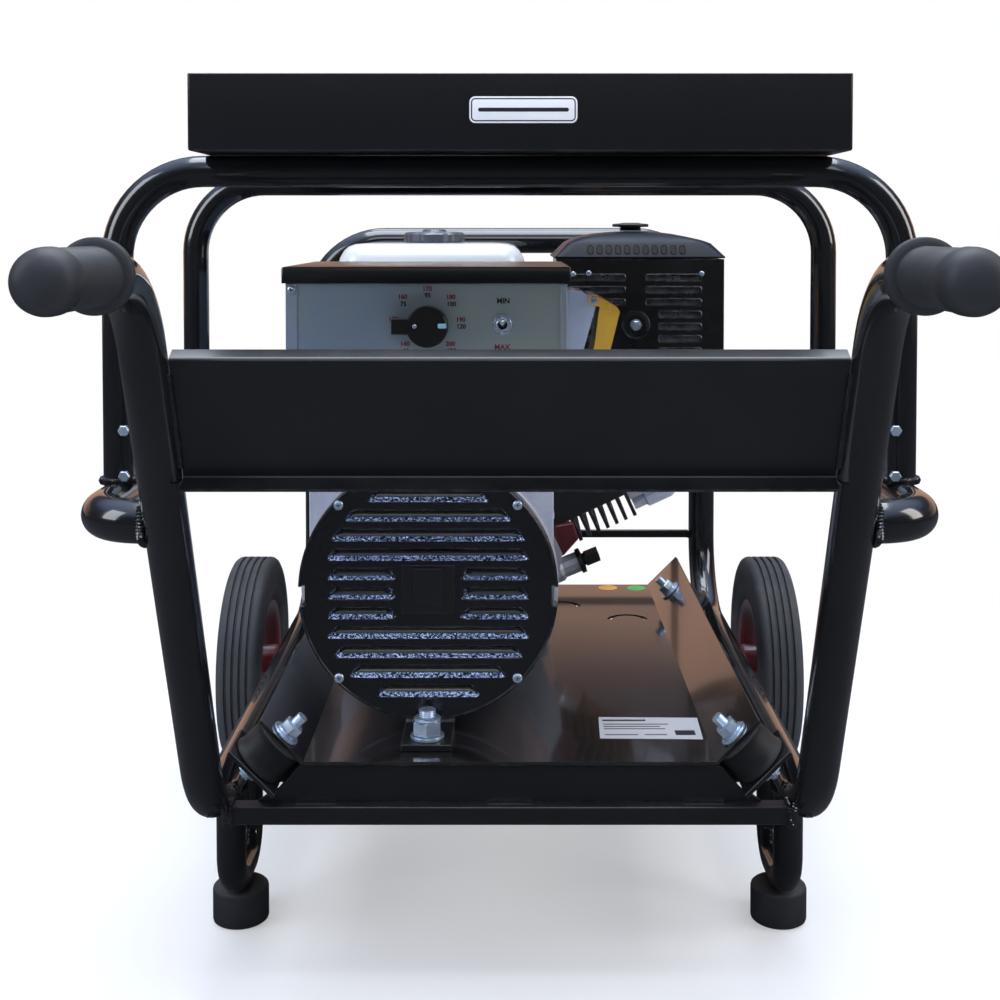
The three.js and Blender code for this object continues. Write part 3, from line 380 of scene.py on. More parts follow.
def bent_line(corners, bend, step=6):
    """Points and headings of a line through corners, each turned on an arc of radius `bend`:
    arc point = centre + the start arm turned by k/n of the corner's angle about the arc's axis."""
    corners = np.asarray(corners, float)
    heads = np.diff(corners, axis=0)
    heads /= np.linalg.norm(heads, axis=1)[:, None]
    points, tangents = [corners[:1]], [heads[:1]]
    for before, after, corner in zip(heads[:-1], heads[1:], corners[1:-1]):
        turn = np.arccos(np.clip(before @ after, -1, 1))
        count = max(2, int(np.ceil(np.degrees(turn) / step)))
        angle = (turn * np.arange(count + 1) / count)[:, None]
        inward = after - before * (before @ after)
        inward /= np.linalg.norm(inward)
        start = corner - before * bend * tan(turn / 2)
        points.append(start + before * bend * np.sin(angle) + inward * bend * (1 - np.cos(angle)))
        tangents.append(before * np.cos(angle) + inward * np.sin(angle))
    points.append(corners[-1:])
    tangents.append(heads[-1:])
    return np.vstack(points), np.vstack(tangents)


def tube(corners, bend, radius, across, sides=36, step=6):
    """Round tube: centre(u) + radius (cos v . side + sin v . across), side = across x heading."""
    points, tangents = bent_line(corners, bend, step)
    across = np.asarray(across, float)
    side = np.cross(across, tangents)
    side /= np.linalg.norm(side, axis=1)[:, None]
    angle = np.linspace(0, 2 * pi, sides, endpoint=False)
    ring = np.cos(angle)[:, None] * side[:, None, :] + np.sin(angle)[:, None] * across
    return carried(points[:, None, :] + radius * ring)


def weld_bead(centre, axis, radius, thick=0.0032, ripples=46):
    """Weld round a tube: a thin ring whose own radius swells once per ripple of the torch."""
    axis = np.asarray(axis, float) / np.linalg.norm(axis)
    first = np.cross(axis, (0.31, 0.47, 0.83))
    first /= np.linalg.norm(first)
    second = np.cross(axis, first)
    u = np.linspace(0, 2 * pi, ripples * 4, endpoint=False)[:, None]
    v = np.linspace(0, 2 * pi, 8, endpoint=False)[None, :]
    thick = thick * (1 + 0.18 * np.cos(u * ripples) + 0.12 * np.cos(5 * u + 1))
    out = (np.cos(u)[..., None] * first + np.sin(u)[..., None] * second)
    reach = (radius + thick * np.cos(v))[..., None] * out
    return carried(np.asarray(centre, float) + reach + (thick * np.sin(v))[..., None] * axis, along=True)


gloss_black = finish("gloss_black_paint", (0.0072, 0.0078, 0.0088), 0.13, coat=1.0, coat_rough=0.04,
                     fine=700, wide=170, share=0.8, bump=0.10, depth=0.0004, vary=0.15, rough_swing=0.12,
                     worn=(0.10, 0.10, 0.11), wear_amount=0.35, dusty=0.05)

rail_x, rail_z, grip_z = 258 * mm, 160 * mm, 632 * mm
rear_y, tube_r, cage_r, leg_r = 550 * mm, 16.85 * mm, 12.7 * mm, 13.45 * mm
bumper_x, bumper_z, bumper_root_x = 318 * mm, 440 * mm, 275.45 * mm
cage_foot_z, cage_ys = 457.15 * mm, {"front": -193 * mm, "rear": 92 * mm}
bumper_front_y, leg_ys, leg_low_z, leg_root_z = -274 * mm, (-49 * mm, 41 * mm), 49.5 * mm, 142.85 * mm


def lean_y(z):
    """Where the leaning handle tube stands along Y at a height: -268 mm at 408, -0.477 per mm up."""
    return (-268 - (z / mm - 408) * 0.477) * mm


for side, sign in (("left", -1), ("right", 1)):
    x = sign * rail_x
    piece(f"handle_tube_{side}", [
        tube([(x, -560 * mm, grip_z), (x, lean_y(grip_z), grip_z), (x, lean_y(rail_z), rail_z),
              (x, rear_y, rail_z), (x, rear_y, 262 * mm)], 95 * mm, tube_r, (1, 0, 0)),
    ], gloss_black, stands_for=f"main_tube_{side}")
    piece(f"crash_bar_{side}", [
        tube([(sign * bumper_root_x, bumper_front_y, bumper_z), (sign * bumper_x, bumper_front_y, bumper_z),
              (sign * bumper_x, rear_y, bumper_z), (sign * bumper_root_x, rear_y, bumper_z)],
             40 * mm, tube_r, (0, 0, 1)),
    ], gloss_black, stands_for=f"side_bumper_{side}")
    piece(f"stand_leg_{side}", [
        tube([(x, leg_ys[0], leg_root_z), (x, leg_ys[0], leg_low_z), (x, leg_ys[1], leg_low_z),
              (x, leg_ys[1], leg_root_z)], 32 * mm, leg_r, (1, 0, 0)),
    ], gloss_black, stands_for=f"leg_{side}")

piece("rear_bow", [tube([(-rail_x, rear_y, 262.3 * mm), (-rail_x, rear_y, 646 * mm),
                         (rail_x, rear_y, 646 * mm), (rail_x, rear_y, 262.3 * mm)], 91 * mm, tube_r,
                        (0, 1, 0))], gloss_black, stands_for="rear_hoop")
for which, y in cage_ys.items():
    piece(f"cage_bow_{which}", [
        tube([(-bumper_x, y, cage_foot_z), (-bumper_x, y, 708 * mm), (bumper_x, y, 708 * mm),
              (bumper_x, y, cage_foot_z)], 70 * mm, cage_r, (0, 1, 0)),
    ], gloss_black, stands_for=f"cage_hoop_{which}")

welds = []
for sign in (-1, 1):
    x = sign * rail_x
    welds += [weld_bead((sign * 276.2 * mm, bumper_front_y, bumper_z), (1, 0, 0), 16.6 * mm),
              weld_bead((sign * 274.2 * mm, rear_y, bumper_z), (1, 0, 0), 14.6 * mm, 0.0015),
              weld_bead((x, rear_y, 262.1 * mm), (0, 0, 1), 15.4 * mm, 0.0010)]
    welds += [weld_bead((x, y, 143.4 * mm), (0, 0, 1), 13.2 * mm) for y in leg_ys]
    welds += [weld_bead((sign * bumper_x, y, 457.6 * mm), (0, 0, 1), 12.6 * mm) for y in cage_ys.values()]
piece("tube_welds", welds, gloss_black)

# ------------------------------------------------------------------ handle panel, tray and cross bars
# Folded sheet steel, 2 mm thick, in a satin black. The panel is welded between the handle tubes,
# the tray is bolted on the two cage bows, and a square bar and a flat bar tie the base rails.


def folded(points, thick, bend):
    """Outline of a folded sheet: the rounded centre line moved half a thickness to each side."""
    flat, heads = bent_line(np.column_stack([np.asarray(points, float), np.zeros(len(points))]), bend, 12)
    left = np.column_stack([-heads[:, 1], heads[:, 0]]) * thick / 2
    return np.vstack([flat[:, :2] + left, (flat[:, :2] - left)[::-1]])


def drawn_out(outline, low, high, axis="x", steps=2):
    """An outline carried straight along one axis from low to high."""
    outline = np.asarray(outline, float)
    run = np.linspace(low, high, steps)[:, None, None] * np.ones((1, len(outline), 1))
    flat = np.broadcast_to(outline, (steps, *outline.shape))
    order = {"x": (run, flat[..., :1], flat[..., 1:]), "y": (flat[..., :1], run, flat[..., 1:]),
             "z": (flat[..., :1], flat[..., 1:], run)}[axis]
    return carried(np.concatenate(order, -1))


def box(x0, x1, y0, y1, z0, z1):
    """A plain block, for pieces whose edges a bevel then rounds."""
    return drawn_out([(x0, y0), (x1, y0), (x1, y1), (x0, y1)], z0, z1, "z")


def upright(outline, y):
    """An (x, z) outline stood up at one place along Y."""
    return np.column_stack([outline[:, 0], np.full(len(outline), y), outline[:, 1]])


def rounded_loop(a0, a1, b0, b1, radius, steps=5):
    """A rectangle with its corners turned on quarter circles."""
    angle = np.linspace(0, pi / 2, steps + 1)
    quarter = np.column_stack([np.cos(angle), np.sin(angle)]) * radius
    turn = np.array([[0, -1], [1, 0]])
    corners = ((a1 - radius, b1 - radius), (a0 + radius, b1 - radius), (a0 + radius, b0 + radius),
               (a1 - radius, b0 + radius))
    return np.vstack([quarter @ np.linalg.matrix_power(turn, k).T + corner
                      for k, corner in enumerate(corners)])


def levels(loops):
    """A skin through (outline, height) pairs stacked along Z."""
    return carried([np.column_stack([outline, np.full(len(outline), height)]) for outline, height in loops])


satin_black = finish("satin_black_paint", (0.0075, 0.0085, 0.0105), 0.27, coat=0.35, coat_rough=0.16,
                     fine=1100, wide=200, share=0.6, bump=0.10, depth=0.0003, vary=0.15, rough_swing=0.10,
                     worn=(0.16, 0.16, 0.18), wear_amount=0.45, dusty=0.05)

panel_up = np.array([-0.477, 1]) / np.hypot(1, 0.477)
panel_back = np.array([1, 0.477]) / np.hypot(1, 0.477)
panel_foot = np.array([lean_y(477 * mm), 477 * mm])
section = folded(np.array([(-16, 1), (1, 1), (1, 101.6), (14, 101.6)]) * mm, 2 * mm, 2.6 * mm)
section = panel_foot + section[:, :1] * panel_back + section[:, 1:] * panel_up
piece("handle_cross_panel", [drawn_out(section, -240.8 * mm, 240.8 * mm)], satin_black,
      stands_for="handle_panel")
panel_welds = []
for sign in (-1, 1):
    run = np.linspace(0.1, 0.9, 40)[:, None]
    foot = panel_foot + panel_up * 101 * mm * run
    angle = np.linspace(0, 2 * pi, 8, endpoint=False)
    swell = 2.6 * mm * (1 + 0.2 * np.cos(np.arange(40) * 1.7))[:, None]
    ring = np.stack([sign * 241.6 * mm + swell * np.cos(angle),
                     foot[:, :1] - 1.4 * mm + swell * np.sin(angle), foot[:, 1:] + 0 * swell * angle], -1)
    panel_welds.append(carried(ring))
piece("handle_panel_welds", panel_welds, gloss_black)

tray_x, tray_y = (-245.5 * mm, 261.5 * mm), (-260 * mm, 162 * mm)


def tray_loop(inset, radius):
    """The tray's outline drawn in by the inset."""
    return rounded_loop(tray_x[0] + inset, tray_x[1] - inset, tray_y[0] + inset, tray_y[1] - inset, radius)


piece("tool_tray", [levels([(tray_loop(1.6 * mm, 2 * mm), 721.1 * mm),
                            (tray_loop(0.4 * mm, 2.4 * mm), 721.6 * mm), (tray_loop(0, 2.6 * mm), 723 * mm),
                            (tray_loop(0, 2.6 * mm), 779.5 * mm), (tray_loop(0.5 * mm, 2.2 * mm), 780 * mm),
                            (tray_loop(1.5 * mm, 1.6 * mm), 780 * mm),
                            (tray_loop(2 * mm, 1.4 * mm), 779.5 * mm),
                            (tray_loop(2 * mm, 1.4 * mm), 724.4 * mm),
                            (tray_loop(3.2 * mm, 1 * mm), 723.1 * mm),])], satin_black, stands_for="top_tray",
      sharp=40)

bar_end = 240.8 * mm
apron_right = np.array([(219, 165.6), (204.5, 176.5), (201.6, 176.4), (198.6, 179.4), (183, 198)])
apron = np.vstack([apron_right[:1] * (-1, 1), apron_right, (apron_right * (-1, 1))[:0:-1]])
piece("front_square_bar", [box(-bar_end, bar_end, -144 * mm, -128 * mm, 150 * mm, 166 * mm),
                           drawn_out(apron * mm, -132 * mm, -128.2 * mm, "y")],
      satin_black, stands_for="front_cross_bar", bevel=(1.2 * mm, 2))
piece("rear_flat_bar", [box(-bar_end, bar_end, 547 * mm, 553 * mm, 246 * mm, 256 * mm)],
      satin_black, stands_for="rear_cross_bar", bevel=(1 * mm, 2))


def bead_line(start, end, thick, ripples):
    """A straight weld run: a round bar whose radius swells once per ripple."""
    start, end = np.asarray(start, float), np.asarray(end, float)
    head = (end - start) / np.linalg.norm(end - start)
    side = np.cross(head, (0.3, 0.5, 0.81))
    side /= np.linalg.norm(side)
    up = np.cross(head, side)
    run = np.linspace(0, 1, ripples * 4)[:, None, None]
    angle = np.linspace(0, 2 * pi, 8, endpoint=False)[None, :, None]
    radius = thick * (0.85 + 0.2 * np.abs(np.sin(run * pi * ripples)))
    return carried(start + (end - start) * run + radius * (np.cos(angle) * side + np.sin(angle) * up))


bar_welds = []
for sign in (-1, 1):
    x = sign * 240.4 * mm
    bar_welds += [bead_line((x, -144.5 * mm, 150 * mm), (x, -144.5 * mm, 166 * mm), 2.6 * mm, 6),
                  bead_line((x, -144 * mm, 166.5 * mm), (x, -128 * mm, 166.5 * mm), 2.6 * mm, 6),
                  bead_line((x, -144 * mm, 149.6 * mm), (x, -128 * mm, 149.6 * mm), 2.2 * mm, 6),
                  bead_line((x, 546.6 * mm, 246 * mm), (x, 546.6 * mm, 256 * mm), 2 * mm, 4)]
bar_welds += [bead_line((x0 * mm, -133 * mm, 166.6 * mm), (x1 * mm, -133 * mm, 166.6 * mm), 2 * mm, 12)
              for x0, x1 in ((-186, -150), (-20, 20), (150, 186))]
piece("bar_welds", bar_welds, gloss_black)

# The name plate's place holds a plain rounded badge: a white film with one dark keyline.
white_film = finish("white_film", (0.78, 0.79, 0.80), 0.35, fine=500, wide=60, bump=0.03, vary=0.03,
                    wear_amount=0, dusty=0.06)
black_print = finish("black_print", (0.012, 0.012, 0.014), 0.45, fine=900, bump=0.05, wear_amount=0,
                     dusty=0.03)
badge = [(rounded_loop(-30.7 * mm + d, 51.5 * mm - d, 742 * mm + d, 762.2 * mm - d, 4.5 * mm - d), y)
         for d, y in ((0, -260.02 * mm), (0, -260.4 * mm), (0.3 * mm, -260.55 * mm))]
piece("tray_badge", [carried([upright(loop, y) for loop, y in badge])],
      white_film)
keyline = []
for inset, y in ((1.3, -260.5), (1.3, -260.62), (2.2, -260.62), (2.2, -260.5)):
    loop = rounded_loop((-30.7 + inset) * mm, (51.5 - inset) * mm, (742 + inset) * mm, (762.2 - inset) * mm,
                        (4.5 - inset) * mm)
    keyline.append(upright(loop, y * mm))
piece("tray_badge_keyline", [carried(keyline, along=True),
                             drawn_out(rounded_loop(-24 * mm, 45 * mm, 750.6 * mm, 753.6 * mm, 1.4 * mm),
                                       -260.62 * mm, -260.5 * mm, "y")], black_print)

# ------------------------------------------------------------------ grips and feet
# Moulded rubber. The grips are pushed on the handle ends: domed tip, fine ribs all round with a
# smooth strip on top, and a collar. The feet are plain rubber buffers under the legs.


def turned(profile, start, axis, sides=48, closed=False):
    """A (radius, distance) profile turned about the line from start along axis."""
    axis = np.asarray(axis, float) / np.linalg.norm(axis)
    first = np.cross(axis, (0.0, 0.0, 1.0) if abs(axis[2]) < 0.9 else (1.0, 0.0, 0.0))
    first /= np.linalg.norm(first)
    second = np.cross(axis, first)
    angle = np.linspace(0, 2 * pi, sides, endpoint=False)[None, :, None]
    profile = np.asarray(profile, float)
    out = profile[:, :1, None] * (np.cos(angle) * first + np.sin(angle) * second)
    return carried(np.asarray(start, float) + profile[:, 1][:, None, None] * axis + out, along=closed)


grip_rubber = finish("grip_rubber", (0.020, 0.022, 0.026), 0.50, fine=700, wide=160, share=0.4, bump=0.25,
                     depth=0.0003, vary=0.18, rough_swing=0.18, worn=(0.07, 0.07, 0.075), wear_amount=0.35,
                     dusty=0.16, specular=0.45)
ribs = np.arange(27.0, 103.0, 0.45)
rib_radius = 18.9 - 0.45 * (0.5 - 0.5 * np.cos(2 * pi * ribs / 2.25)) ** 0.6
tip = [(0, 0), (5, 0.25), (9, 0.9), (12.5, 2.1), (15.5, 4.1), (17.6, 6.6), (18.9, 9.6), (19.55, 13),
       (19.75, 17), (19.75, 23.6), (19.5, 24.6), (18.9, 25.4)]
collar = [(18.9, 103.6), (20.5, 104), (24.0, 104.6), (24.5, 105.4), (24.5, 107.4), (24.1, 108), (24.5, 108.6),
          (24.5, 112.2), (24, 113), (17.3, 113), (17.3, 8), (0, 8)]
grip_profile = np.array(tip + list(zip(rib_radius, ribs)) + collar) * mm
for side, sign in (("left", -1), ("right", 1)):
    points, faces = turned(grip_profile, (sign * rail_x, -567 * mm, grip_z), (0, 1, 0), 72)
    # The smooth strip: near the top line the radius is brought up to the sleeve's full 18.9 mm.
    centre = points - np.array([sign * rail_x, 0, grip_z])
    radius = np.hypot(centre[:, 0], centre[:, 2])
    along = points[:, 1] + 567 * mm
    ribbed = (along > 26 * mm) & (along < 103.4 * mm) & (radius > 18 * mm)
    near_top = np.exp(-((np.abs(np.arctan2(centre[:, 0], centre[:, 2])) / 0.26) ** 6))
    wanted = radius + (18.95 * mm - radius) * near_top * ribbed
    factor = np.where(radius > 1e-6, wanted / np.maximum(radius, 1e-6), 1)
    points[:, 0] = sign * rail_x + centre[:, 0] * factor
    points[:, 2] = grip_z + centre[:, 2] * factor
    piece(f"hand_grip_{side}", [(points, faces)], grip_rubber, stands_for=f"grip_{side}",
          sharp=50)
    foot = [(0, 0), (22.5, 0), (24.6, 0.5), (26, 1.6), (26.5, 3.4), (26.5, 30.6), (26, 32.5), (24.6, 33.9),
            (22, 34.8), (19, 35.7), (0, 35.7)]
    piece(f"rubber_foot_{side}", [turned(np.array(foot) * mm, (sign * rail_x, -4 * mm, 0), (0, 0, 1), 64)],
          grip_rubber, stands_for=f"foot_{side}")

# ------------------------------------------------------------------ bed plate and rubber mounts
# A 3 mm folded tray carries the engine set. It hangs on four rubber bobbins set at 45 degrees,
# each with a stud at both ends, a washer and a zinc nut, on brackets welded to the rails.

bed_black = finish("bed_black_paint", (0.010, 0.0095, 0.0095), 0.16, coat=0.9, coat_rough=0.07, fine=500,
                   wide=120, share=0.7, bump=0.05, depth=0.0003, vary=0.2, rough_swing=0.07,
                   worn=(0.15, 0.15, 0.16), wear_amount=0.4, dusty=0.03)


def dress(material, *names):
    """Gives carried-over nodes a finish in place of the plain one they came with."""
    for name in names:
        nodes[name].data.materials.clear()
        nodes[name].data.materials.append(material)


dress(bed_black, "bed_plate")

bright_zinc = finish("bright_zinc_plate", (0.60, 0.71, 0.82), 0.20, metal=0.72, fine=1400, wide=260,
                     share=0.4, bump=0.04, depth=0.0002, vary=0.08, tone=(0.50, 0.60, 0.76), tone_scale=45,
                     rough_swing=0.10, worn=(0.75, 0.76, 0.78), wear_amount=0.3, wear_width=0.0006,
                     dusty=0.06)
mount_rubber = finish("mount_rubber", (0.008, 0.008, 0.0095), 0.50, fine=800, wide=120, bump=0.22, vary=0.2,
                      rough_swing=0.2, worn=(0.05, 0.05, 0.05), wear_amount=0.3, dusty=0.18)


def hex_block(centre, axis, flats, height, chamfer=0.8 * mm):
    """A six-sided nut or bolt head: corner radius = flats / (2 cos 30), drawn in at both faces."""
    corner = flats / sqrt(3)
    sizes = ((corner * 0.88, 0), (corner, chamfer), (corner, height - chamfer), (corner * 0.88, height))
    return turned(sizes, centre, axis, 6)


def thread(centre, axis, radius, length, pitch=1.25 * mm):
    """A stud's thread as rings: the radius falls and rises once per pitch."""
    run = np.arange(0, length, pitch / 4)
    size = radius - 0.35 * pitch * (0.5 + 0.5 * np.cos(2 * pi * run / pitch))
    profile = [(0, 0), *zip(size, run), (radius * 0.8, length), (0, length + 0.4 * mm)]
    return turned(profile, centre, axis, 24)


def washer(centre, axis, radius, hole, thick):
    """A flat ring with its outer edge eased."""
    return turned([(hole, 0), (radius - 0.2 * mm, 0), (radius, 0.3 * mm), (radius, thick - 0.3 * mm),
                   (radius - 0.2 * mm, thick), (hole, thick)], centre, axis, 32, closed=True)


for side, sign in (("left", -1), ("right", 1)):
    down = np.array([sign, 0, -1]) / sqrt(2)
    for end, y in (("front", -127 * mm), ("rear", 355 * mm)):
        flange = np.array([sign * 195 * mm, y, 223 * mm])
        top = flange + down * 3.3 * mm
        bobbin = [(0, 0), (24, 0), (25, 0.8), (25, 2.2), (24.2, 3.4), (23.6, 8), (23.4, 15), (23.6, 22),
                  (24.2, 26.6), (25, 27.8), (25, 29.2), (24, 30), (0, 30)]
        piece(f"bobbin_{end}_{side}", [turned(np.array(bobbin) * mm, top, down, 48)], mount_rubber,
              stands_for=f"rubber_mount_{end}_{side}")
        above = top - down * 3.6 * mm
        below = top + down * 34.6 * mm
        piece(f"bobbin_nuts_{end}_{side}", [washer(above, -down, 13 * mm, 5 * mm, 2 * mm),
                                            washer(above - down * 2 * mm, -down, 9.4 * mm, 5 * mm, 2.2 * mm),
                                            hex_block(above - down * 4.2 * mm, -down, 16.5 * mm, 8.6 * mm),
                                            thread(above, -down, 5 * mm, 22 * mm),
                                            washer(below, down, 11 * mm, 5 * mm, 1.6 * mm),
                                            hex_block(below + down * 1.6 * mm, down, 16.5 * mm, 8.4 * mm),
                                            thread(below, down, 5 * mm, 14 * mm),], bright_zinc)
        # The welded bracket: a plate square to the bobbin, standing on two gussets from the rail.
        seat = flange + down * 33.6 * mm
        half = 27 * mm * np.array([sign, 0, 1]) / sqrt(2)
        plate_ends = np.array([seat - half, seat + half, seat + half + down * 4 * mm,
                               seat - half + down * 4 * mm])
        plate = drawn_out(plate_ends[:, [0, 2]], y - 27 * mm, y + 27 * mm, "y")
        gusset = np.array([seat + 0.7 * half + down * 3 * mm, seat + half + down * 3 * mm,
                           (sign * rail_x, y, rail_z), (sign * (rail_x - 10 * mm), y,
                                                        rail_z + 6 * mm)])[:, [0, 2]]
        bracket_welds = [bead_line((sign * (rail_x - 14 * mm), y + at, rail_z + 11 * mm),
                                   (sign * (rail_x - 16.6 * mm), y + at, rail_z - 6 * mm), 2 * mm, 7)
                         for at in (-29 * mm, -19.5 * mm, 19.5 * mm, 29 * mm)]
        piece(f"mount_bracket_{end}_{side}", [plate, drawn_out(gusset, y - 27 * mm, y - 22 * mm, "y"),
                                              drawn_out(gusset, y + 22 * mm, y + 27 * mm, "y")],
              satin_black, bevel=(0.8 * mm, 2))
        piece(f"mount_bracket_welds_{end}_{side}", bracket_welds, gloss_black)

# Behind each front bobbin a skirt plate fills the corner between the apron and the bed's fold.
corner_skirt = np.array([(150, 200), (179, 200), (206, 214), (214, 196), (214, 170), (150, 165)]) * mm
for side, sign in (("left", -1), ("right", 1)):
    piece(f"corner_skirt_{side}", [drawn_out(corner_skirt * (sign, 1), -98 * mm, -95 * mm, "y")], satin_black,
          bevel=(0.6 * mm, 2))

# Small zinc bolts pin the foot of the front cage bow, two on each side, one above the other.
piece("cage_bolts", [hex_block(np.array([sign * 311, -202.5, z]) * mm, (0, -1, 0), 8 * mm, 5 * mm, 0.6 * mm)
                     for sign in (-1, 1) for z in (462, 499)], bright_zinc)

bed_z = 205 * mm
label_corners = np.array([(81, -88), (173, -90), (175, -35), (83, -33)]) * mm
piece("bed_label", [drawn_out(label_corners, bed_z + 0.02 * mm, bed_z + 0.22 * mm, "z")], white_film)
bars = [(86, -44, 40, 4), (86, -53, 60, 2), (86, -59, 52, 2), (86, -65, 56, 2), (86, -80, 30, 2),
        (122, -80, 20, 2), (150, -80, 18, 12)]
piece("bed_label_lines", [box(x * mm, (x + w) * mm, y * mm, (y + h) * mm, bed_z + 0.2 * mm, bed_z + 0.3 * mm)
                          for x, y, w, h in bars], black_print)
for name, (x, y), colour in (("orange", (125, 442), (0.90, 0.42, 0.05)),
                             ("green", (161, 440), (0.10, 0.52, 0.09))):
    film = finish(f"{name}_film", colour, 0.4, fine=600, bump=0.05, wear_amount=0, dusty=0.2)
    dot = [(0, 0.02), (11.7, 0.02), (12, 0.12), (11.7, 0.25), (0, 0.25)]
    piece(f"{name}_inspection_dot", [turned(np.array(dot) * mm, (x * mm, y * mm, bed_z), (0, 0, 1), 40)],
          film)

# ------------------------------------------------------------------ wheels and axle
# Solid rubber tyres with four grooves round the tread, pressed on red steel rims. They turn on a
# plain steel axle held under the rails, and a zinc collar keeps each one on.

tyre_rubber = finish("tyre_rubber", (0.038, 0.042, 0.050), 0.62, fine=500, wide=90, share=0.35, bump=0.3,
                     depth=0.0004, vary=0.2, tone=(0.055, 0.055, 0.056), rough_swing=0.2,
                     worn=(0.10, 0.10, 0.10), wear_amount=0.4, dusty=0.22, specular=0.4)
rim_red = finish("rim_red_paint", (0.17, 0.010, 0.016), 0.22, coat=0.7, fine=700, wide=150, share=0.7,
                 bump=0.12, vary=0.15, rough_swing=0.15, worn=(0.32, 0.28, 0.27), wear_amount=0.4, dusty=0.10)
rib_edges = []
for middle in (-12.6, -4.2, 4.2, 12.6):
    rib_edges += [(124.9, middle - 1.9), (124.3, middle - 1.5), (121.6, middle - 1.2), (121.6, middle + 1.2),
                  (124.3, middle + 1.5), (124.9, middle + 1.9)]
tyre_profile = [(72.4, -21), (76, -22.4), (88, -24.4), (96, -24.0), (98, -24.9), (112, -25), (118.5, -24.2),
                (122, -22.4), (124.2, -19.4), (124.9, -16), *rib_edges, (124.9, 16), (124.2, 19.4),
                (122, 22.4), (118.5, 24.2), (112, 25), (98, 24.9), (96, 24.0), (88, 24.4), (76, 22.4),
                (72.4, 21)]
rim_profile = [(10.3, -28), (16.4, -28), (17, -27.4), (17, -9), (19, -6.4), (24, -4.6), (44, -4.8), (52, -8),
               (58, -15.5), (61, -19), (65, -20.8), (71.4, -21.4), (72.1, -20.4), (72.1, 20.4), (71.4, 21.4),
               (65, 20.8), (61, 19), (58, 13), (52, 4.6), (44, 0.6), (24, 0.4), (19, 1.8), (17, 4.4),
               (17, 17.4), (16.4, 18), (10.3, 18)]
for side, sign in (("left", -1), ("right", 1)):
    hub = np.array([sign * 319, 407, 125]) * mm
    out = (sign, 0, 0)
    piece(f"solid_tyre_{side}", [turned(np.array(tyre_profile) * mm, hub, out, 120, closed=True)],
          tyre_rubber, f"wheel_{side}", f"tyre_{side}", sharp=50)
    piece(f"pressed_rim_{side}", [turned(np.array(rim_profile) * mm, hub, out, 96, closed=True)], rim_red,
          f"wheel_{side}", f"rim_{side}", sharp=50)
    studs = [hub + np.array([sign * 0.5 * mm, 34 * mm * cos(a), 34 * mm * sin(a)])
             for a in np.arange(6) * pi / 3]
    piece(f"rim_rivets_{side}", [turned(np.array([(0, 0), (4.2, 0), (4.2, 0.8), (3, 2.2), (0, 2.8)]) * mm, at,
                                        out, 16) for at in studs], rim_red, f"wheel_{side}")

plain_steel = finish("plain_steel", (0.42, 0.42, 0.43), 0.32, metal=1.0, fine=1500, wide=300, share=0.3,
                     bump=0.12, vary=0.12, tone_scale=40, rough_swing=0.2, worn=(0.6, 0.6, 0.6),
                     wear_amount=0.3, dusty=0.1)
dress(plain_steel, "axle", "crankshaft", "rotor", "muffler")
piece("axle_collars", [turned(np.array([(10.1, 0), (14.4, 0), (15, 0.6), (15, 4.4), (14.4, 5),
                                        (10.1, 5)]) * mm, (sign * 337.6 * mm, 407 * mm, 125 * mm),
                              (sign, 0, 0), 36, closed=True) for sign in (-1, 1)], bright_zinc)

# ------------------------------------------------------------------ alternator
# An aluminium end bell and stator housing on the engine's shaft line, closed at the front by a
# pressed steel cover: eleven rows of louvres pushed inwards, four zinc screws, wrinkle paint.

shaft = np.array([-73, 0, 337]) * mm
wrinkle_black = finish("wrinkle_black_paint", (0.0065, 0.0072, 0.0090), 0.20, coat=0.6, coat_rough=0.12,
                       fine=760, wide=330, share=0.55, bump=0.75, depth=0.0007, vary=0.15, rough_swing=0.10,
                       worn=(0.15, 0.15, 0.16), wear_amount=0.4, dusty=0.04)
cast_aluminium = finish("cast_aluminium", (0.66, 0.68, 0.74), 0.38, metal=0.6, fine=520, wide=120, share=0.35,
                        bump=0.35, depth=0.0005, vary=0.12, tone=(0.50, 0.52, 0.57), tone_scale=22,
                        rough_swing=0.2, worn=(0.80, 0.81, 0.84), wear_amount=0.5, dusty=0.10)


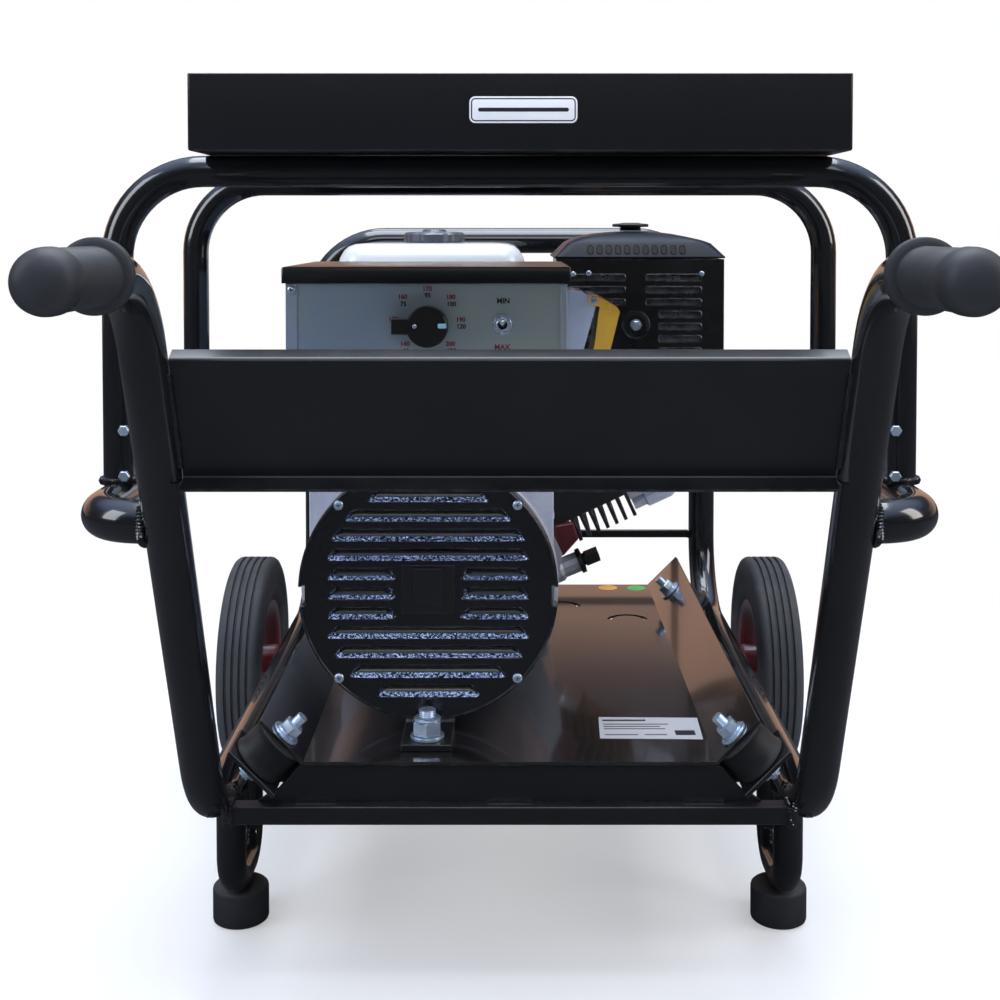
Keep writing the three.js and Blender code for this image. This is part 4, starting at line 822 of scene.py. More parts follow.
def louvred_face(radius, front, rows=320, cols=130):
    """Disc point (x, z): z = radius v, x = u sqrt(radius^2 - z^2). Its depth is 0 on the flat and
    rises in step with the height t above each louvre's lower edge, dying away at the louvre's ends;
    the faces high in each louvre are left out, which opens the slot."""
    z = radius * np.linspace(-1, 1, rows)[:, None] * np.ones((1, cols))
    half = np.sqrt(np.maximum(radius ** 2 - z ** 2, 1e-12))
    x = half * np.sin(0.5 * pi * np.linspace(-1, 1, cols))[None, :]
    depth = np.zeros_like(x)
    open_here = np.zeros_like(x, bool)
    tall, pitch = 10.8 * mm, 17.6 * mm
    for row in range(-5, 6):
        middle = row * pitch - 2 * mm
        reach = min(92 * mm, sqrt((102 * mm) ** 2 - middle ** 2))
        t = (z - middle + tall / 2) / tall
        inner = 28 * mm if abs(row) <= 1 else -1.0
        outward = reach - 9 * mm * np.clip(t, 0, 1) ** 1.4 - np.abs(x)
        inward = np.abs(x) - inner - 6 * mm * t if inner > 0 else outward
        room = np.minimum(outward, inward)
        inside = (t >= 0) & (t <= 1) & (room > 0)
        fade = np.clip(room / (5 * mm), 0, 1)
        fade = fade * fade * (3 - 2 * fade)
        slope = np.sin(0.5 * pi * np.clip(t / 0.74, 0, 1))
        depth = np.where(inside, 5.2 * mm * slope * fade, depth)
        open_here |= inside & (t > 0.74) & (t < 0.98) & (room > 2 * mm)
    notch = (np.abs(z + 4 * mm) < 9.5 * mm) & (np.abs(x) > radius - 5.5 * mm)
    points = np.stack([shaft[0] + x, front + depth, shaft[2] + z], -1)
    lost = open_here | notch
    keep = ~(lost[:-1, :-1] & lost[1:, :-1] & lost[:-1, 1:] & lost[1:, 1:])
    i, j = np.nonzero(keep)
    faces = np.stack([i * cols + j, i * cols + j + 1, (i + 1) * cols + j + 1, (i + 1) * cols + j],
                     -1).tolist()
    return points.reshape(-1, 3), faces


cover = piece("alternator_louvred_cover", [louvred_face(115.6 * mm, -85.0 * mm)], wrinkle_black,
              stands_for="alternator_cover", sharp=38)
if cover.data.polygons[0].normal.y > 0:
    cover.data.flip_normals()
# The louvres' slopes and throats get a bright blue metal finish with dark specks: a painted glint of the sky
# on the pressed slopes.
louvre_painted_glint = finish("louvre_painted_glint", (0.55, 0.66, 0.92), 0.20, metal=0.95, fine=640, wide=420, share=0.5,
                     bump=1.0, depth=0.0012, vary=0.3, tone=(0.012, 0.013, 0.018), tone_scale=480,
                     rough_swing=0.1, worn=(0.6, 0.68, 0.85), wear_amount=0.3, dusty=0)
# The painted glints are separate bright specks, so the mottle is steepened to nearly two tones.
glint_factor = louvre_painted_glint.node_tree.nodes["Base Tones"].inputs["Factor"]
steep = node(louvre_painted_glint.node_tree, "ShaderNodeMapRange", From_Min=0.40, From_Max=0.60)
louvre_painted_glint.node_tree.links.new(glint_factor.links[0].from_socket, steep.inputs["Value"])
louvre_painted_glint.node_tree.links.new(steep.outputs["Result"], glint_factor)
cover.data.materials.append(louvre_painted_glint)
centres = np.empty(len(cover.data.polygons) * 3)
cover.data.polygons.foreach_get("center", centres)
deep = centres.reshape(-1, 3)[:, 1]
on_slope = (deep > -84.7 * mm) & (deep < -81.7 * mm)
cover.data.polygons.foreach_set("material_index", on_slope.astype(np.int32))
skin = cover.modifiers.new("sheet_thickness", "SOLIDIFY")
skin.thickness, skin.offset = 1.4 * mm, -1
rim = [(113.4, 2.2), (114.6, 0.2), (115.6, 0.0), (116.3, 0.6), (116.7, 1.8), (116.7, 24), (114.7, 24),
       (114.7, 3)]
rim = np.array(rim) * mm
for which, start, stop in (("upper", 2.2, 177.8), ("lower", 187.0, 353.0)):
    # The turned-back wall is in two arcs: a notch is left open between them at each side.
    angle = np.radians(np.linspace(start, stop, 110))[:, None]
    ring = np.stack([shaft[0] + rim[:, 0] * np.cos(angle), -86 * mm + rim[:, 1] + 0 * angle,
                     shaft[2] + rim[:, 0] * np.sin(angle)], -1)
    piece(f"alternator_cover_wall_{which}", [carried(ring)], wrinkle_black)
piece("alternator_cover_boss", [box(-97 * mm, -49 * mm, -85.8 * mm, -84.6 * mm, 317 * mm, 361 * mm),
                                box(-86 * mm, -60 * mm, -88.4 * mm, -86.0 * mm, 325 * mm, 358.5 * mm)],
      gloss_black, bevel=(0.7 * mm, 3))

cross_slots = []
for sx in (-1, 1):
    for sz in (-1, 1):
        at = shaft + np.array([sx * 80 * mm, -85.6 * mm, sz * 78 * mm])
        head = [(0, 0), (4.2, 0), (4.4, 0.5), (4.1, 1.2), (3.0, 1.9), (1.2, 2.2), (0, 2.25)]
        piece(f"cover_screw_{'left' if sx < 0 else 'right'}_{'low' if sz < 0 else 'high'}",
              [turned(np.array(head) * mm, at, (0, -1, 0), 28)], bright_zinc)
        cross_slots += [box(at[0] - w * mm, at[0] + w * mm, at[1] - 2.29 * mm, at[1] - 1.2 * mm,
                            at[2] - h * mm, at[2] + h * mm) for w, h in ((1.9, 0.36), (0.36, 1.9))]
# The screws' cross slots are near-black blocks set into the heads: painted shade in the recesses.
recess_painted_shade = finish("recess_painted_shade", (0.006, 0.006, 0.006), 0.7, fine=900, bump=0.1, wear_amount=0, dusty=0.03)
piece("cover_screw_recess_shade", cross_slots, recess_painted_shade)

silver_housing = finish("silver_housing_paint", (0.78, 0.80, 0.92), 0.32, metal=0.35, coat=0.25, fine=900,
                        wide=130, share=0.5, bump=0.12, vary=0.06, tone=(0.50, 0.53, 0.64), tone_scale=14,
                        rough_swing=0.14, worn=(0.7, 0.7, 0.72), wear_amount=0.35, dusty=0.06)
dress(cast_aluminium, "crankcase", "carburettor", "flywheel", "rocker_cover")
bell = np.array([(15.4, -52), (30, -52), (30, -44), (106, -44), (106, -61.6), (114, -61.6), (118, -56),
                 (118, -30.4), (108, -30.4), (108, -37), (15.4, -37)]) * mm
piece("alternator_end_bell", [
    turned(bell, shaft, (0, 1, 0), 96, closed=True),
    box(-95 * mm, -51 * mm, -60 * mm, -40 * mm, 205.3 * mm, 231 * mm),
    box(-95 * mm, -51 * mm, -62 * mm, -42 * mm, 205.3 * mm, 211 * mm),
], cast_aluminium, stands_for="end_bell")
adapter = np.array([(96, 150.4), (117.2, 150.4), (118, 151.2), (118, 167), (117, 169.5), (104.6, 202.6),
                    (104, 203.7), (24, 203.7), (24, 194), (92, 194), (96, 182)]) * mm
piece("engine_adapter_ring", [turned(adapter, shaft, (0, 1, 0), 96, closed=True)], cast_aluminium,
      stands_for="engine_adapter")


def housing_loop(spare):
    """Distance from the shaft at angle a: a 120 mm arc below, a box 114 mm to each side and 115 mm
    high above, all drawn in by `spare`."""
    a = np.linspace(0, 2 * pi, 240, endpoint=False)
    side_reach = 114 / np.maximum(np.abs(np.cos(a)), 1e-6)
    crown_reach = np.where(np.sin(a) > 1e-6, 115 / np.maximum(np.sin(a), 1e-6), 120)
    lower_reach = np.where(np.sin(a) < 0, 120, 1e3)
    reach = (np.minimum(np.minimum(side_reach, crown_reach + 1e3 * (np.sin(a) <= 0)),
                        lower_reach) - spare) * mm
    return np.column_stack([shaft[0] + reach * np.cos(a), shaft[2] + reach * np.sin(a)])


bore_angle = np.linspace(0, 2 * pi, 240, endpoint=False)
bore = 100 * mm
bore_loop = np.column_stack([shaft[0] + bore * np.cos(bore_angle), shaft[2] + bore * np.sin(bore_angle)])
wall_loops = [(housing_loop(1.2), -30), (housing_loop(0), -28.8), (housing_loop(0), 148.8),
              (housing_loop(1.2), 150), (bore_loop, 150), (bore_loop, -30)]
piece("stator_wrapper", [carried([upright(loop, y * mm) for loop, y in wall_loops], along=True)],
      silver_housing, stands_for="stator_housing")
wound_copper = finish("wound_core", (0.30, 0.13, 0.06), 0.4, metal=0.7, fine=600, wide=200, bump=0.6,
                      vary=0.25, tone=(0.12, 0.06, 0.04), tone_scale=70, wear_amount=0.2, dusty=0.1)
dress(wound_copper, "stator_core")
moulded_black = finish("moulded_black_plastic", (0.011, 0.011, 0.013), 0.36, fine=1300, wide=240, share=0.3,
                       bump=0.25, depth=0.0002, vary=0.15, rough_swing=0.14, worn=(0.06, 0.06, 0.065),
                       wear_amount=0.4, dusty=0.08)
dress(moulded_black, "cooling_fan")

# The stator's cheeks carry two shallow pressed ribs, on both flat sides.
cheek_ribs = []
for sx in (-1, 1):
    for z in (392, 418):
        rib = rounded_loop(-22 * mm, 142 * mm, (z - 3) * mm, (z + 3) * mm, 2.9 * mm)
        cheek_ribs.append(carried([np.column_stack([np.full(len(rib), shaft[0] + sx * d * mm), rib])
                                   for d in (113.8, 114.9)]))
piece("housing_ribs", cheek_ribs, silver_housing, bevel=(0.5 * mm, 2))
foot_nut_at = shaft + np.array([0, -102 * mm, 211.3 * mm - shaft[2]])
piece("stand_lock_nut", [washer(foot_nut_at, (0, 0, 1), 15 * mm, 8 * mm, 3 * mm),
                         hex_block(foot_nut_at + (0, 0, 3 * mm), (0, 0, 1), 23.5 * mm, 13 * mm, 1.2 * mm),
                         turned(np.array([(0, 15.5), (12.2, 15.5), (12.2, 17.4), (10.8, 18.8), (9, 19.4),
                                          (8, 19.4), (0, 19.4)]) * mm, foot_nut_at, (0, 0, 1), 40),
                         thread(foot_nut_at, (0, 0, 1), 7.8 * mm, 25.4 * mm, 1.6 * mm)], bright_zinc,
      stands_for="stand_nut")

piece("alternator_foot_plate", [box(-95.3 * mm, -50.7 * mm, -120.3 * mm, -62.5 * mm, 205.15 * mm,
                                    211.15 * mm)], satin_black, bevel=(0.8 * mm, 2))

# ------------------------------------------------------------------ control box
# A folded sheet box in silver-grey with a black lid. The front panel carries the current switch
# with its two rings of numbers and a small toggle. An outlet with a yellow flap is on the right.


def silver_grey_with_painted_sheen(name, cool, warm, low_x, high_x):
    """The box's metallic grey with a painted reflection across it, cool blue on the left and warmer on the
    right: tone = position along X.
    """
    made = finish(name, cool, 0.30, metal=0.55, coat=0.15, fine=1500, wide=300, share=0.25, bump=0.10,
                  depth=0.0001, vary=0.04, rough_swing=0.08, worn=(0.6, 0.6, 0.6), wear_amount=0.35,
                  wear_width=0.0008, dusty=0.05)
    tree = made.node_tree
    base = tree.nodes["Base Tones"]
    # The tone drifts from cool blue on the left to warm on the right: a painted reflection of the light.
    where = tree.nodes.new("ShaderNodeTexCoord")
    split = tree.nodes.new("ShaderNodeSeparateXYZ")
    across = node(tree, "ShaderNodeMapRange", From_Min=low_x, From_Max=high_x)
    drift = node(tree, "ShaderNodeMix", {"data_type": "RGBA"}, A=(*cool, 1), B=(*warm, 1))
    tree.links.new(where.outputs["Object"], split.inputs[0])
    tree.links.new(split.outputs["X"], across.inputs["Value"])
    tree.links.new(across.outputs["Result"], drift.inputs["Factor"])
    tree.links.new(drift.outputs["Result"], base.inputs["A"])
    base.inputs["B"].default_value = (*[c * 0.93 for c in warm], 1)
    return made


box_silver = silver_grey_with_painted_sheen("box_silver_grey", (0.28, 0.36, 0.54), (0.36, 0.41, 0.47), -0.20, 0.05)
panel_silver = silver_grey_with_painted_sheen("panel_silver_grey", (0.23, 0.32, 0.50), (0.32, 0.38, 0.37), -0.19, 0.03)
dress(box_silver, "control_box")
dress(panel_silver, "control_panel")
lid_x, lid_y = (-206.5 * mm, 55.5 * mm), (-64.5 * mm, 153.5 * mm)


def lid_loop(inset, radius):
    """The lid's outline drawn in by the inset."""
    return rounded_loop(lid_x[0] + inset, lid_x[1] - inset, lid_y[0] + inset, lid_y[1] - inset, radius)


piece("box_lid", [levels([(lid_loop(2.0 * mm, 1 * mm), 625.2 * mm), (lid_loop(2.0 * mm, 1 * mm), 612.4 * mm),
                          (lid_loop(0.2 * mm, 2 * mm), 612.3 * mm), (lid_loop(0, 2.2 * mm), 612.8 * mm),
                          (lid_loop(0, 2.2 * mm), 625.4 * mm), (lid_loop(0.6 * mm, 1.8 * mm), 626.8 * mm),
                          (lid_loop(2.0 * mm, 1.4 * mm), 627.2 * mm),])], satin_black,
      stands_for="control_box_lid", sharp=42)
strips = [(-203, -192.7), (46.2, 52)]
piece("box_front_flanges", [box(a * mm, b * mm, -62.0 * mm, -61.05 * mm, 455.4 * mm, 611.9 * mm)
                            for a, b in strips], box_silver, bevel=(0.35 * mm, 2))
pan_head = np.array([(0, 0), (3.6, 0), (3.8, 0.5), (3.5, 1.2), (2.4, 1.9), (1, 2.15), (0, 2.2)]) * mm
panel_screws = [(-197.8 * mm, -62 * mm, z * mm) for z in (606.3, 466)]
piece("box_front_screws", [turned(pan_head, at, (0, -1, 0), 24) for at in panel_screws], bright_zinc)
# Near-black blocks in the panel screws' cross slots: painted shade.
piece("box_front_screw_recess_shade", [
    box(x - w * mm, x + w * mm, y - 2.24 * mm, y - 1.2 * mm, z - h * mm, z + h * mm)
    for x, y, z in panel_screws for w, h in ((1.6, 0.35), (0.35, 1.6))], recess_painted_shade)

# The printed numbers: upper ring in dark red, lower ring in black; font outlines laid flat on the panel.
red_print = finish("red_print", (0.16, 0.012, 0.02), 0.45, fine=900, bump=0.05, wear_amount=0, dusty=0.03)


def printed(name, words, material, size=5.7 * mm):
    """Lettering as one mesh: each word's outline is turned upright, centred on its (x, z) and laid
    just proud of the panel."""
    shells = []
    for text, x, z in words:
        curve = bpy.data.curves.new(name, "FONT")
        curve.body, curve.size = text, size
        curve.align_x, curve.align_y = "CENTER", "CENTER"
        curve.extrude, curve.offset = 0.06 * mm, 0.24 * mm
        curve.resolution_u = 3
        holder = bpy.data.objects.new(name, curve)
        flat = bpy.data.meshes.new_from_object(holder)
        points = np.empty(len(flat.vertices) * 3)
        flat.vertices.foreach_get("co", points)
        points = points.reshape(-1, 3)
        faces = [list(face.vertices) for face in flat.polygons]
        shells.append((np.column_stack([x * mm + points[:, 0], -61.07 * mm - points[:, 2],
                                        z * mm + points[:, 1]]), faces))
        bpy.data.objects.remove(holder)
        bpy.data.meshes.remove(flat)
    return piece(name, shells, material)


printed("dial_numbers_high", [("150", -105.6, 579.8), ("160", -97, 599.9), ("170", -74.7, 607.2),
                              ("180", -53.3, 599.8), ("190", -44.4, 579.2), ("200", -53.7, 557.2),
                              ("140", -95, 557.2)], red_print)
printed("dial_numbers_low", [("75", -96.4, 593.5), ("95", -74.2, 601.3), ("100", -52.8, 593.4),
                             ("120", -44, 573), ("130", -52.8, 550.9), ("60", -94.4, 550.9)], black_print)
printed("toggle_word_high", [("MIN", -5.8, 596.2)], black_print, 6.6 * mm)
printed("toggle_word_low", [("MAX", -6.8, 554.2)], red_print, 6.6 * mm)

knob_black = finish("knob_black", (0.009, 0.009, 0.010), 0.3, fine=1200, wide=300, bump=0.12, vary=0.15,
                    worn=(0.05, 0.05, 0.055), wear_amount=0.4, dusty=0.06)
dial_x, dial_z = -74 * mm, 574 * mm


def knob_outline(inset):
    """A disc with a square nose to the left, drawn in by the inset."""
    radius, nose, tip_x = 18.7 * mm - inset, 7 * mm - inset, 32 * mm - inset
    start = np.arcsin(nose / radius)
    angle = np.linspace(-pi + start, pi - start, 61)
    disc = np.column_stack([dial_x + radius * np.cos(angle), dial_z + radius * np.sin(angle)])
    return np.vstack([disc, [(dial_x - tip_x, dial_z + nose), (dial_x - tip_x, dial_z - nose)]])


knob_loops = [(0.6, -62.5), (0, -63.2), (0, -80.4), (0.4, -82), (1.4, -83), (2.4, -83.0)]
piece("current_switch_knob", [carried([upright(knob_outline(inset * mm), y * mm)
                                       for inset, y in knob_loops])], knob_black, "selector_knob",
      "selector_knob", sharp=30)
pale_blue = finish("pale_blue_inlay", (0.30, 0.56, 0.72), 0.35, fine=800, bump=0.05, wear_amount=0,
                   dusty=0.05)
inlay = rounded_loop(-64 * mm, -56.6 * mm, 572.9 * mm, 577.2 * mm, 0.8 * mm)
piece("knob_index_inlay", [drawn_out(inlay, -83.35 * mm, -82.8 * mm, "y")], pale_blue, "selector_knob")
piece("knob_grub_screw", [turned(np.array([(0, 0), (1.9, 0), (1.9, 0.3), (1.5, 0.5), (0, 0.5)]) * mm,
                                 (-84.8 * mm, -82.9 * mm, 574.6 * mm), (0, -1, 0), 20)],
      bright_zinc, "selector_knob")
bush_at = np.array([-6.4, -61, 575]) * mm
piece("toggle_bush_nut", [turned(np.array([(6.1, 0.2), (9.4, 0.2), (9.7, 0.6), (9.4, 1.1), (6.1, 1.1)]) * mm,
                                 bush_at, (0, -1, 0), 40, closed=True),
                          turned(np.array([(4.5, 1.0), (8.0, 1.0), (8.2, 1.5), (8.2, 3.4), (7.6, 4.0),
                                           (6.2, 4.1), (6.0, 6.0), (5.2, 6.4), (4.5, 6.1)]) * mm, bush_at,
                                 (0, -1, 0), 40, closed=True)], bright_zinc)
# A near-black ring filling the bush round the bat: painted shade inside the bush.
piece("toggle_bush_shade", [turned(np.array([(1.9, 5.2), (4.45, 4.4), (4.45, 2.0), (1.9, 2.4)]) * mm, bush_at,
                             (0, -1, 0), 24, closed=True)], recess_painted_shade)
lever_axis = np.array([0, -cos(radians(12)), sin(radians(12))])
piece("toggle_bat", [turned(np.array([(0, -2), (1.7, -2), (1.75, 3), (1.9, 8), (2.35, 12), (2.65, 15.4),
                                      (2.5, 17.2), (1.7, 18.5), (0, 19)]) * mm, bush_at - (0, 2 * mm, 0),
                            lever_axis, 28)], bright_zinc, "toggle_lever", "toggle_lever")

socket_lilac = finish("socket_lilac_grey", (0.36, 0.42, 0.55), 0.28, coat=0.3, fine=900, wide=200, bump=0.08,
                      vary=0.06, worn=(0.75, 0.8, 0.9), wear_amount=0.6, wear_width=0.0011, dusty=0.05)
flap_yellow = finish("flap_yellow", (0.60, 0.36, 0.045), 0.32, coat=0.3, fine=900, wide=200, bump=0.08,
                     vary=0.10, tone=(0.42, 0.23, 0.02), tone_scale=16, worn=(0.85, 0.62, 0.15),
                     wear_amount=0.5, dusty=0.06)
dress(socket_lilac, "socket_housing")
dress(flap_yellow, "socket_flap")
pin_at = np.array([76.7, -53.4, 596.7]) * mm
piece("flap_pin_head", [turned(np.array([(0, 0), (3.6, 0), (3.8, 0.5), (3.2, 1.4), (0, 1.8)]) * mm, pin_at,
                               (0, -1, 0), 24)], bright_zinc, "socket_flap")
# A near-black block in the pin head's slot: painted shade.
piece("flap_pin_slot_shade", [box(pin_at[0] - 2.4 * mm, pin_at[0] + 2.4 * mm, pin_at[1] - 1.86 * mm,
                            pin_at[1] - 1.2 * mm, pin_at[2] - 0.4 * mm, pin_at[2] + 0.4 * mm)], recess_painted_shade,
      "socket_flap")

# ------------------------------------------------------------------ engine
# A single-cylinder petrol engine: cast crankcase, a slanted finned cylinder, a black perforated
# guard over the exhaust, a domed air cleaner, a white tank, and a pull starter at the far end.

fin_black = finish("fin_black_paint", (0.013, 0.013, 0.014), 0.30, coat=0.3, fine=700, wide=200, bump=0.3,
                   depth=0.0003, vary=0.2, rough_swing=0.2, worn=(0.42, 0.43, 0.46), wear_amount=0.9,
                   wear_width=0.0016, dusty=0.12)
dress(fin_black, "cylinder")
# A sheet shroud stands behind the fins and steers the fan's air between them.
along_bore, across_bore = np.array([cos(radians(25)), sin(radians(25))]), np.array([-sin(radians(25)),
                                                                                    cos(radians(25))])
shroud = [shaft[[0, 2]] + (a * along_bore + b * across_bore) * mm
          for a, b in ((106, -82), (196, -82), (196, 82), (106, 82))]
piece("cylinder_shroud", [drawn_out(shroud, 345 * mm, 367.4 * mm, "y")], fin_black, bevel=(1.5 * mm, 2))
guard_black = finish("guard_black_enamel", (0.0085, 0.0088, 0.0095), 0.22, coat=0.5, coat_rough=0.12,
                     fine=800, wide=180, share=0.6, bump=0.16, depth=0.0004, vary=0.2, rough_swing=0.15,
                     worn=(0.24, 0.24, 0.26), wear_amount=0.55, wear_width=0.0014, dusty=0.08)
dress(guard_black, "muffler_guard")

# Louvre lips: each a thin strip rising inwards behind its slot, in a bright blue-grey metal with dark mottle
# that is a painted highlight of the sky on the up-turned lips, and each slot has a rounded rim pressed round
# it.
lip_painted_highlight = finish("lip_painted_highlight_metal", (0.74, 0.76, 0.82), 0.24, metal=0.85, fine=900, wide=260, share=0.4,
                   bump=0.35, vary=0.2, tone=(0.20, 0.20, 0.23), tone_scale=60, rough_swing=0.25,
                   worn=(0.6, 0.6, 0.62), wear_amount=0.4, dusty=0.08)
guard_slots = []
for row in range(7):
    middle_ends = (127, 151.6) if row < 3 else (108, 166)
    guard_slots += [(607.6 - row * 13.6, 66, middle_ends[0]), (607.6 - row * 13.6, middle_ends[1], 211.5)]
lips, rims = [], []
for z, x0, x1 in guard_slots:
    height = z * mm
    lip_line = [(223.0 * mm, height - 3 * mm), (224.6 * mm, height - 2.2 * mm),
                (227.6 * mm, height + 2.6 * mm)]
    lips.append(drawn_out(folded(lip_line, 0.9 * mm, 0.6 * mm), (x0 + 0.4) * mm, (x1 - 0.4) * mm))
    outer = rounded_loop((x0 - 1.6) * mm, (x1 + 1.6) * mm, (z - 4.4) * mm, (z + 4.4) * mm, 3.2 * mm)
    inner = rounded_loop((x0 - 0.1) * mm, (x1 + 0.1) * mm, (z - 2.9) * mm, (z + 2.9) * mm, 1.8 * mm)
    rim_levels = ((outer, 222.2), (outer, 221.7), ((outer + inner) / 2, 221.2), (inner, 221.6),
                  (inner, 223.6))
    rims.append(carried([upright(loop, y * mm) for loop, y in rim_levels], along=True))
piece("guard_louvre_lips", lips, lip_painted_highlight)
piece("guard_slot_rims", rims, guard_black)
dimple_at = np.array([139.8, 222, 555.4]) * mm
piece("guard_bolt_dimple", [turned(np.array([(16.2, 0), (15.8, 1.0), (14.8, 1.5), (13.8, 1.2), (12.6, 0.4),
                                             (9, 0.15), (6, 0.1), (6, -0.6), (16.2, -0.6)]) * mm, dimple_at,
                                   (0, -1, 0), 64, closed=True)], guard_black)
piece("guard_bolt", [washer(dimple_at, (0, -1, 0), 6.4 * mm, 2 * mm, 1.2 * mm),
                     hex_block(dimple_at - (0, 1.2 * mm, 0), (0, -1, 0), 8 * mm, 4.2 * mm, 0.5 * mm)],
      bright_zinc)
small_bolts = [(70.3, 222, 611.5), (87.5, 222, 612.5), (212.5, 222, 612)]
piece("guard_top_screws", [turned(pan_head * 0.8, np.array(at) * mm, (0, -1, 0), 20) for at in small_bolts],
      bright_zinc)

# Air cleaner: rounded loops stacked from a flange to a crowned top; the front leans back.
cleaner_blue_black = finish("cleaner_black_plastic", (0.006, 0.009, 0.018), 0.26, specular=0.10, fine=1200,
                            wide=240, share=0.5, bump=0.10, vary=0.1, rough_swing=0.10,
                            worn=(0.09, 0.08, 0.075), wear_amount=0.35, dusty=0.02)


def cleaner_loop(left, right, front, back, radius):
    """The air cleaner's outline with each side drawn in by its own inset, in millimetres."""
    return rounded_loop((49.5 + left) * mm, (239.4 - right) * mm, (222 + front) * mm, (392 - back) * mm,
                        radius * mm, 8)


cleaner_levels = [(0, 0, 0, 0, 7, 629.0), (0, 0, 0, 0, 7, 631.0), (2.5, 1.5, 1.0, 2, 8, 632.2),
                  (15, 14, 9.5, 10, 12, 645.2), (17.5, 17, 11.6, 12, 13, 646.6), (22, 24, 17, 16, 14, 649.2),
                  (31, 38, 25, 24, 18, 652.6), (46, 54, 38, 38, 22, 656.0), (66, 70, 56, 56, 26, 658.2),
                  (84, 84, 78, 74, 8, 659.0)]
piece("air_cleaner_dome", [levels([(cleaner_loop(*row[:5]), row[5] * mm) for row in cleaner_levels])],
      cleaner_blue_black, stands_for="air_cleaner_cover", sharp=28)
slot_shade_wells, well_rims = [], []
lean = np.array([0, 8.5, 13.0]) / np.hypot(8.5, 13.0)
outward = np.array([0, -13.0, 8.5]) / np.hypot(8.5, 13.0)


def slot_loop(middle, half_width, half_height, raise_by):
    """A round-ended slot on the cleaner's leaning front: middle + a . X + b . lean + raise . outward."""
    loop = rounded_loop(-half_width, half_width, -half_height, half_height, half_width * 0.98, 6)
    return middle + loop[:, :1] * np.array([1, 0, 0]) + loop[:, 1:] * lean + outward * raise_by


# Each slot is a near-black inset sunk into the leaning front: painted shade where the opening is.
well_sizes = [(2.7, 5.6, -1.2), (2.7, 5.6, 0.22)]
rim_sizes = [(3.7, 6.5, -0.3), (3.5, 6.3, 0.35), (2.9, 5.8, 0.5), (2.6, 5.5, -0.3)]
for k in range(11):
    middle = np.array([89.6 + k * 10.2, 223.0 + 8.5 * 0.5, 632.2 + 13.0 * 0.5]) * mm
    slot_shade_wells.append(carried([slot_loop(middle, w * mm, h * mm, up * mm) for w, h, up in well_sizes]))
    well_rims.append(carried([slot_loop(middle, w * mm, h * mm, up * mm) for w, h, up in rim_sizes],
                             along=True))
piece("air_cleaner_slot_shade", slot_shade_wells, recess_painted_shade)
piece("air_cleaner_slot_rims", well_rims, cleaner_blue_black)
knob_at = np.array([140, 300, 659.3]) * mm
piece("air_cleaner_wing_knob", [turned(np.array([(0, 0), (12, 0), (12.6, 1.2), (11.4, 3.6), (13.4, 4.4),
                                                 (20.2, 4.6), (21, 5.4), (21, 7.2), (20.2, 8.0), (13, 8.6),
                                                 (9, 9.4), (0, 9.5)]) * mm, knob_at, (0, 0, 1), 48)],
      moulded_black, "air_cleaner_knob", "air_cleaner_knob")

# Tank: rounded loops from floor to crown, with the pressed seam flange half way up.
tank_white = finish("tank_white_enamel", (0.74, 0.76, 0.77), 0.16, coat=0.8, fine=600, wide=120, share=0.8,
                    bump=0.05, vary=0.02, rough_swing=0.10, worn=(0.5, 0.5, 0.5), wear_amount=0.15,
                    dusty=0.07)


def tank_loop(inset):
    """The tank's outline drawn in by the inset, its corners tightening with it, in millimetres."""
    return rounded_loop((-205 + inset) * mm, (22 - inset) * mm, (285 + inset) * mm, (475 - inset) * mm,
                        max(34 - inset, 6) * mm, 10)


tank_levels = [(10, 530), (4, 531.5), (1.6, 535), (1.6, 572), (0, 573), (0, 576), (1.6, 577), (1.6, 606),
               (3, 618), (6, 628), (10.5, 636), (16, 641), (24, 643.8), (40, 645)]
piece("fuel_tank_shell", [levels([(tank_loop(inset), z * mm) for inset, z in tank_levels])], tank_white,
      stands_for="fuel_tank", sharp=40)
angle = np.linspace(0, 2 * pi, 96, endpoint=False)
notches = 1 - 0.045 * (0.5 + 0.5 * np.cos(12 * angle)) ** 3
cap_rings = []
for radius, z, notched in ((24, 645.3, 0), (35, 645.5, 1), (37, 646.6, 1), (37, 654.6, 1), (35.6, 656.6, 1),
                           (33, 657.6, 0), (30, 657.8, 0), (15, 658.4, 0), (13.6, 660.6, 0), (11, 661.3, 0)):
    reach = radius * mm * (notches if notched else np.ones_like(angle))
    cap_rings.append(np.column_stack([-92 * mm + reach * np.cos(angle), 384 * mm + reach * np.sin(angle),
                                      np.full(96, z * mm)]))
cap_grey = finish("cap_grey_plastic", (0.15, 0.16, 0.18), 0.26, metal=0.5, fine=1100, wide=200, bump=0.2,
                  vary=0.15, worn=(0.5, 0.52, 0.56), wear_amount=0.6, dusty=0.10)
piece("tank_cap", [carried(cap_rings)], cap_grey, "fuel_cap", "fuel_cap", sharp=30)

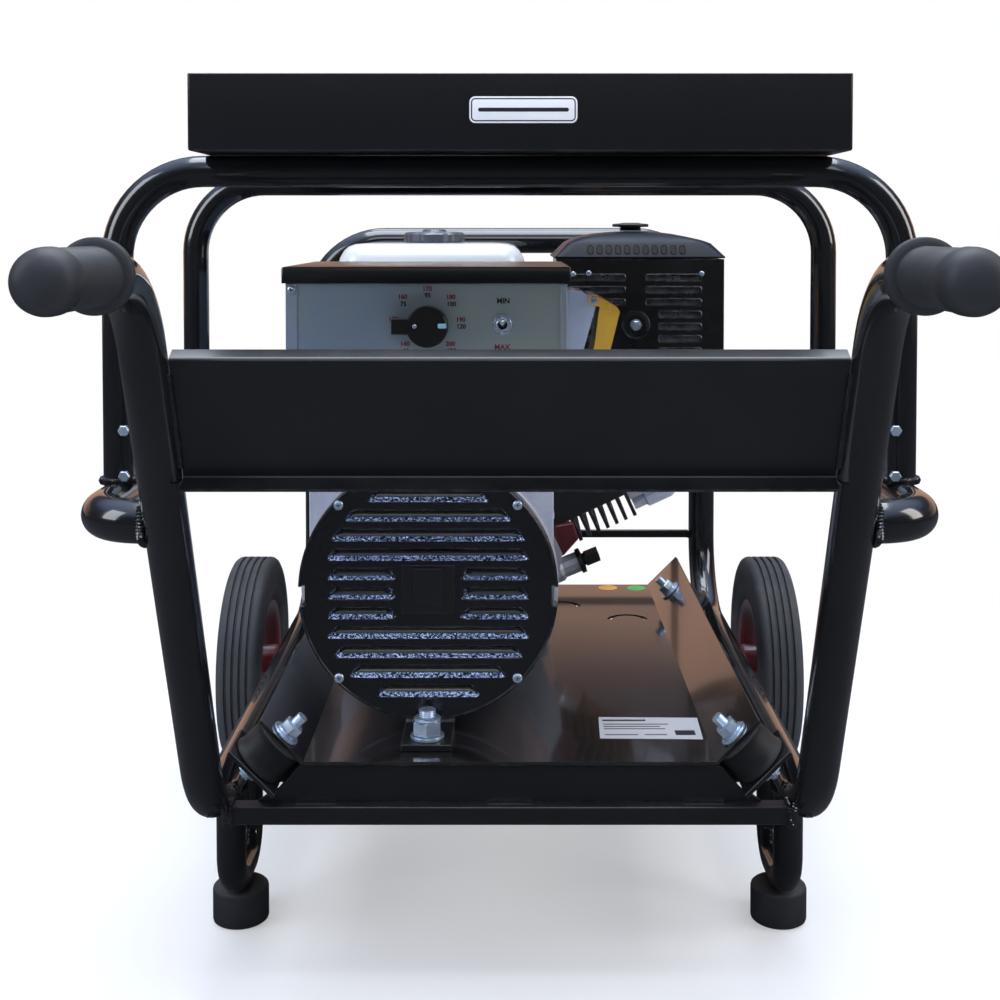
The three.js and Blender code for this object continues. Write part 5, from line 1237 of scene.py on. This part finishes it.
# Fan housing and pull-starter cover: pressed cups on the shaft line. The cover's face has raised
# spokes between its vents and six small screws, and a ferrule guides the cord out at the top.
fan_cup = np.array([(40, 380.4), (127.2, 380.4), (128, 381.2), (128, 470), (123, 470), (123, 385.4),
                    (40, 385.4)]) * mm
piece("fan_cup", [turned(fan_cup, shaft, (0, 1, 0), 120, closed=True)], guard_black, stands_for="fan_housing")
dish = [(0, 510), (68, 510), (99, 500.6), (117, 484), (119, 480), (119, 470.3), (124, 470.3), (124, 482),
        (122, 487), (105.6, 504.2), (101, 507), (71.5, 513.7), (68, 514), (24, 514), (22, 512.6), (0, 512.6)]
spokes = []
for k in range(18):
    away = np.array([cos(k * pi / 9), 0, sin(k * pi / 9)])
    across = np.array([-away[2], 0, away[0]])
    run = [(34, 512.6), (68, 512.6), (98, 506.0), (98, 507.4), (68, 513.9), (34, 513.9)]
    side_line = [shaft + r * mm * away + np.array([0, y * mm, 0]) for r, y in run]
    spokes.append(carried([np.array(side_line) - across * 2.2 * mm, np.array(side_line) + across * 2.2 * mm]))
piece("starter_dish", [turned(np.array(dish) * mm, shaft, (0, 1, 0), 120)] + spokes, guard_black,
      stands_for="recoil_cover")
starter_screws = [shaft + np.array([111 * cos(a), 496.5, 111 * sin(a)]) * mm
                  for a in np.arange(6) * pi / 3 + 0.3]
piece("starter_screws", [turned(pan_head, at, (0, 1, 0), 20) for at in starter_screws], bright_zinc)
piece("cord_ferrule", [turned(np.array([(3, 0), (7, 0), (7.4, 0.8), (6.6, 3.2), (4.2, 4), (3, 3.6)]) * mm,
                              (-13 * mm, 492 * mm, 436 * mm), (0, 0, 1), 32, closed=True)], moulded_black)

# Plug cap, dipstick, pull handle, stop switch, and a dark red side cover by the oil neck.
dress(silver_housing, "plug_cap")
dress(moulded_black, "oil_dipstick", "recoil_handle")
switch_red = finish("switch_red", (0.35, 0.02, 0.02), 0.3, fine=900, bump=0.08, vary=0.1, dusty=0.06)
dress(switch_red, "engine_switch")
engine_red = finish("engine_dark_red", (0.13, 0.010, 0.014), 0.3, coat=0.3, fine=700, bump=0.2, vary=0.2,
                    wear_amount=0.4, dusty=0.12)
side_cover = np.array([(46, 296), (60, 302), (76, 320), (70, 338), (50, 334)]) * mm
piece("engine_side_cover", [drawn_out(side_cover, 205 * mm, 217 * mm, "y")], engine_red,
      bevel=(1.6 * mm, 3))
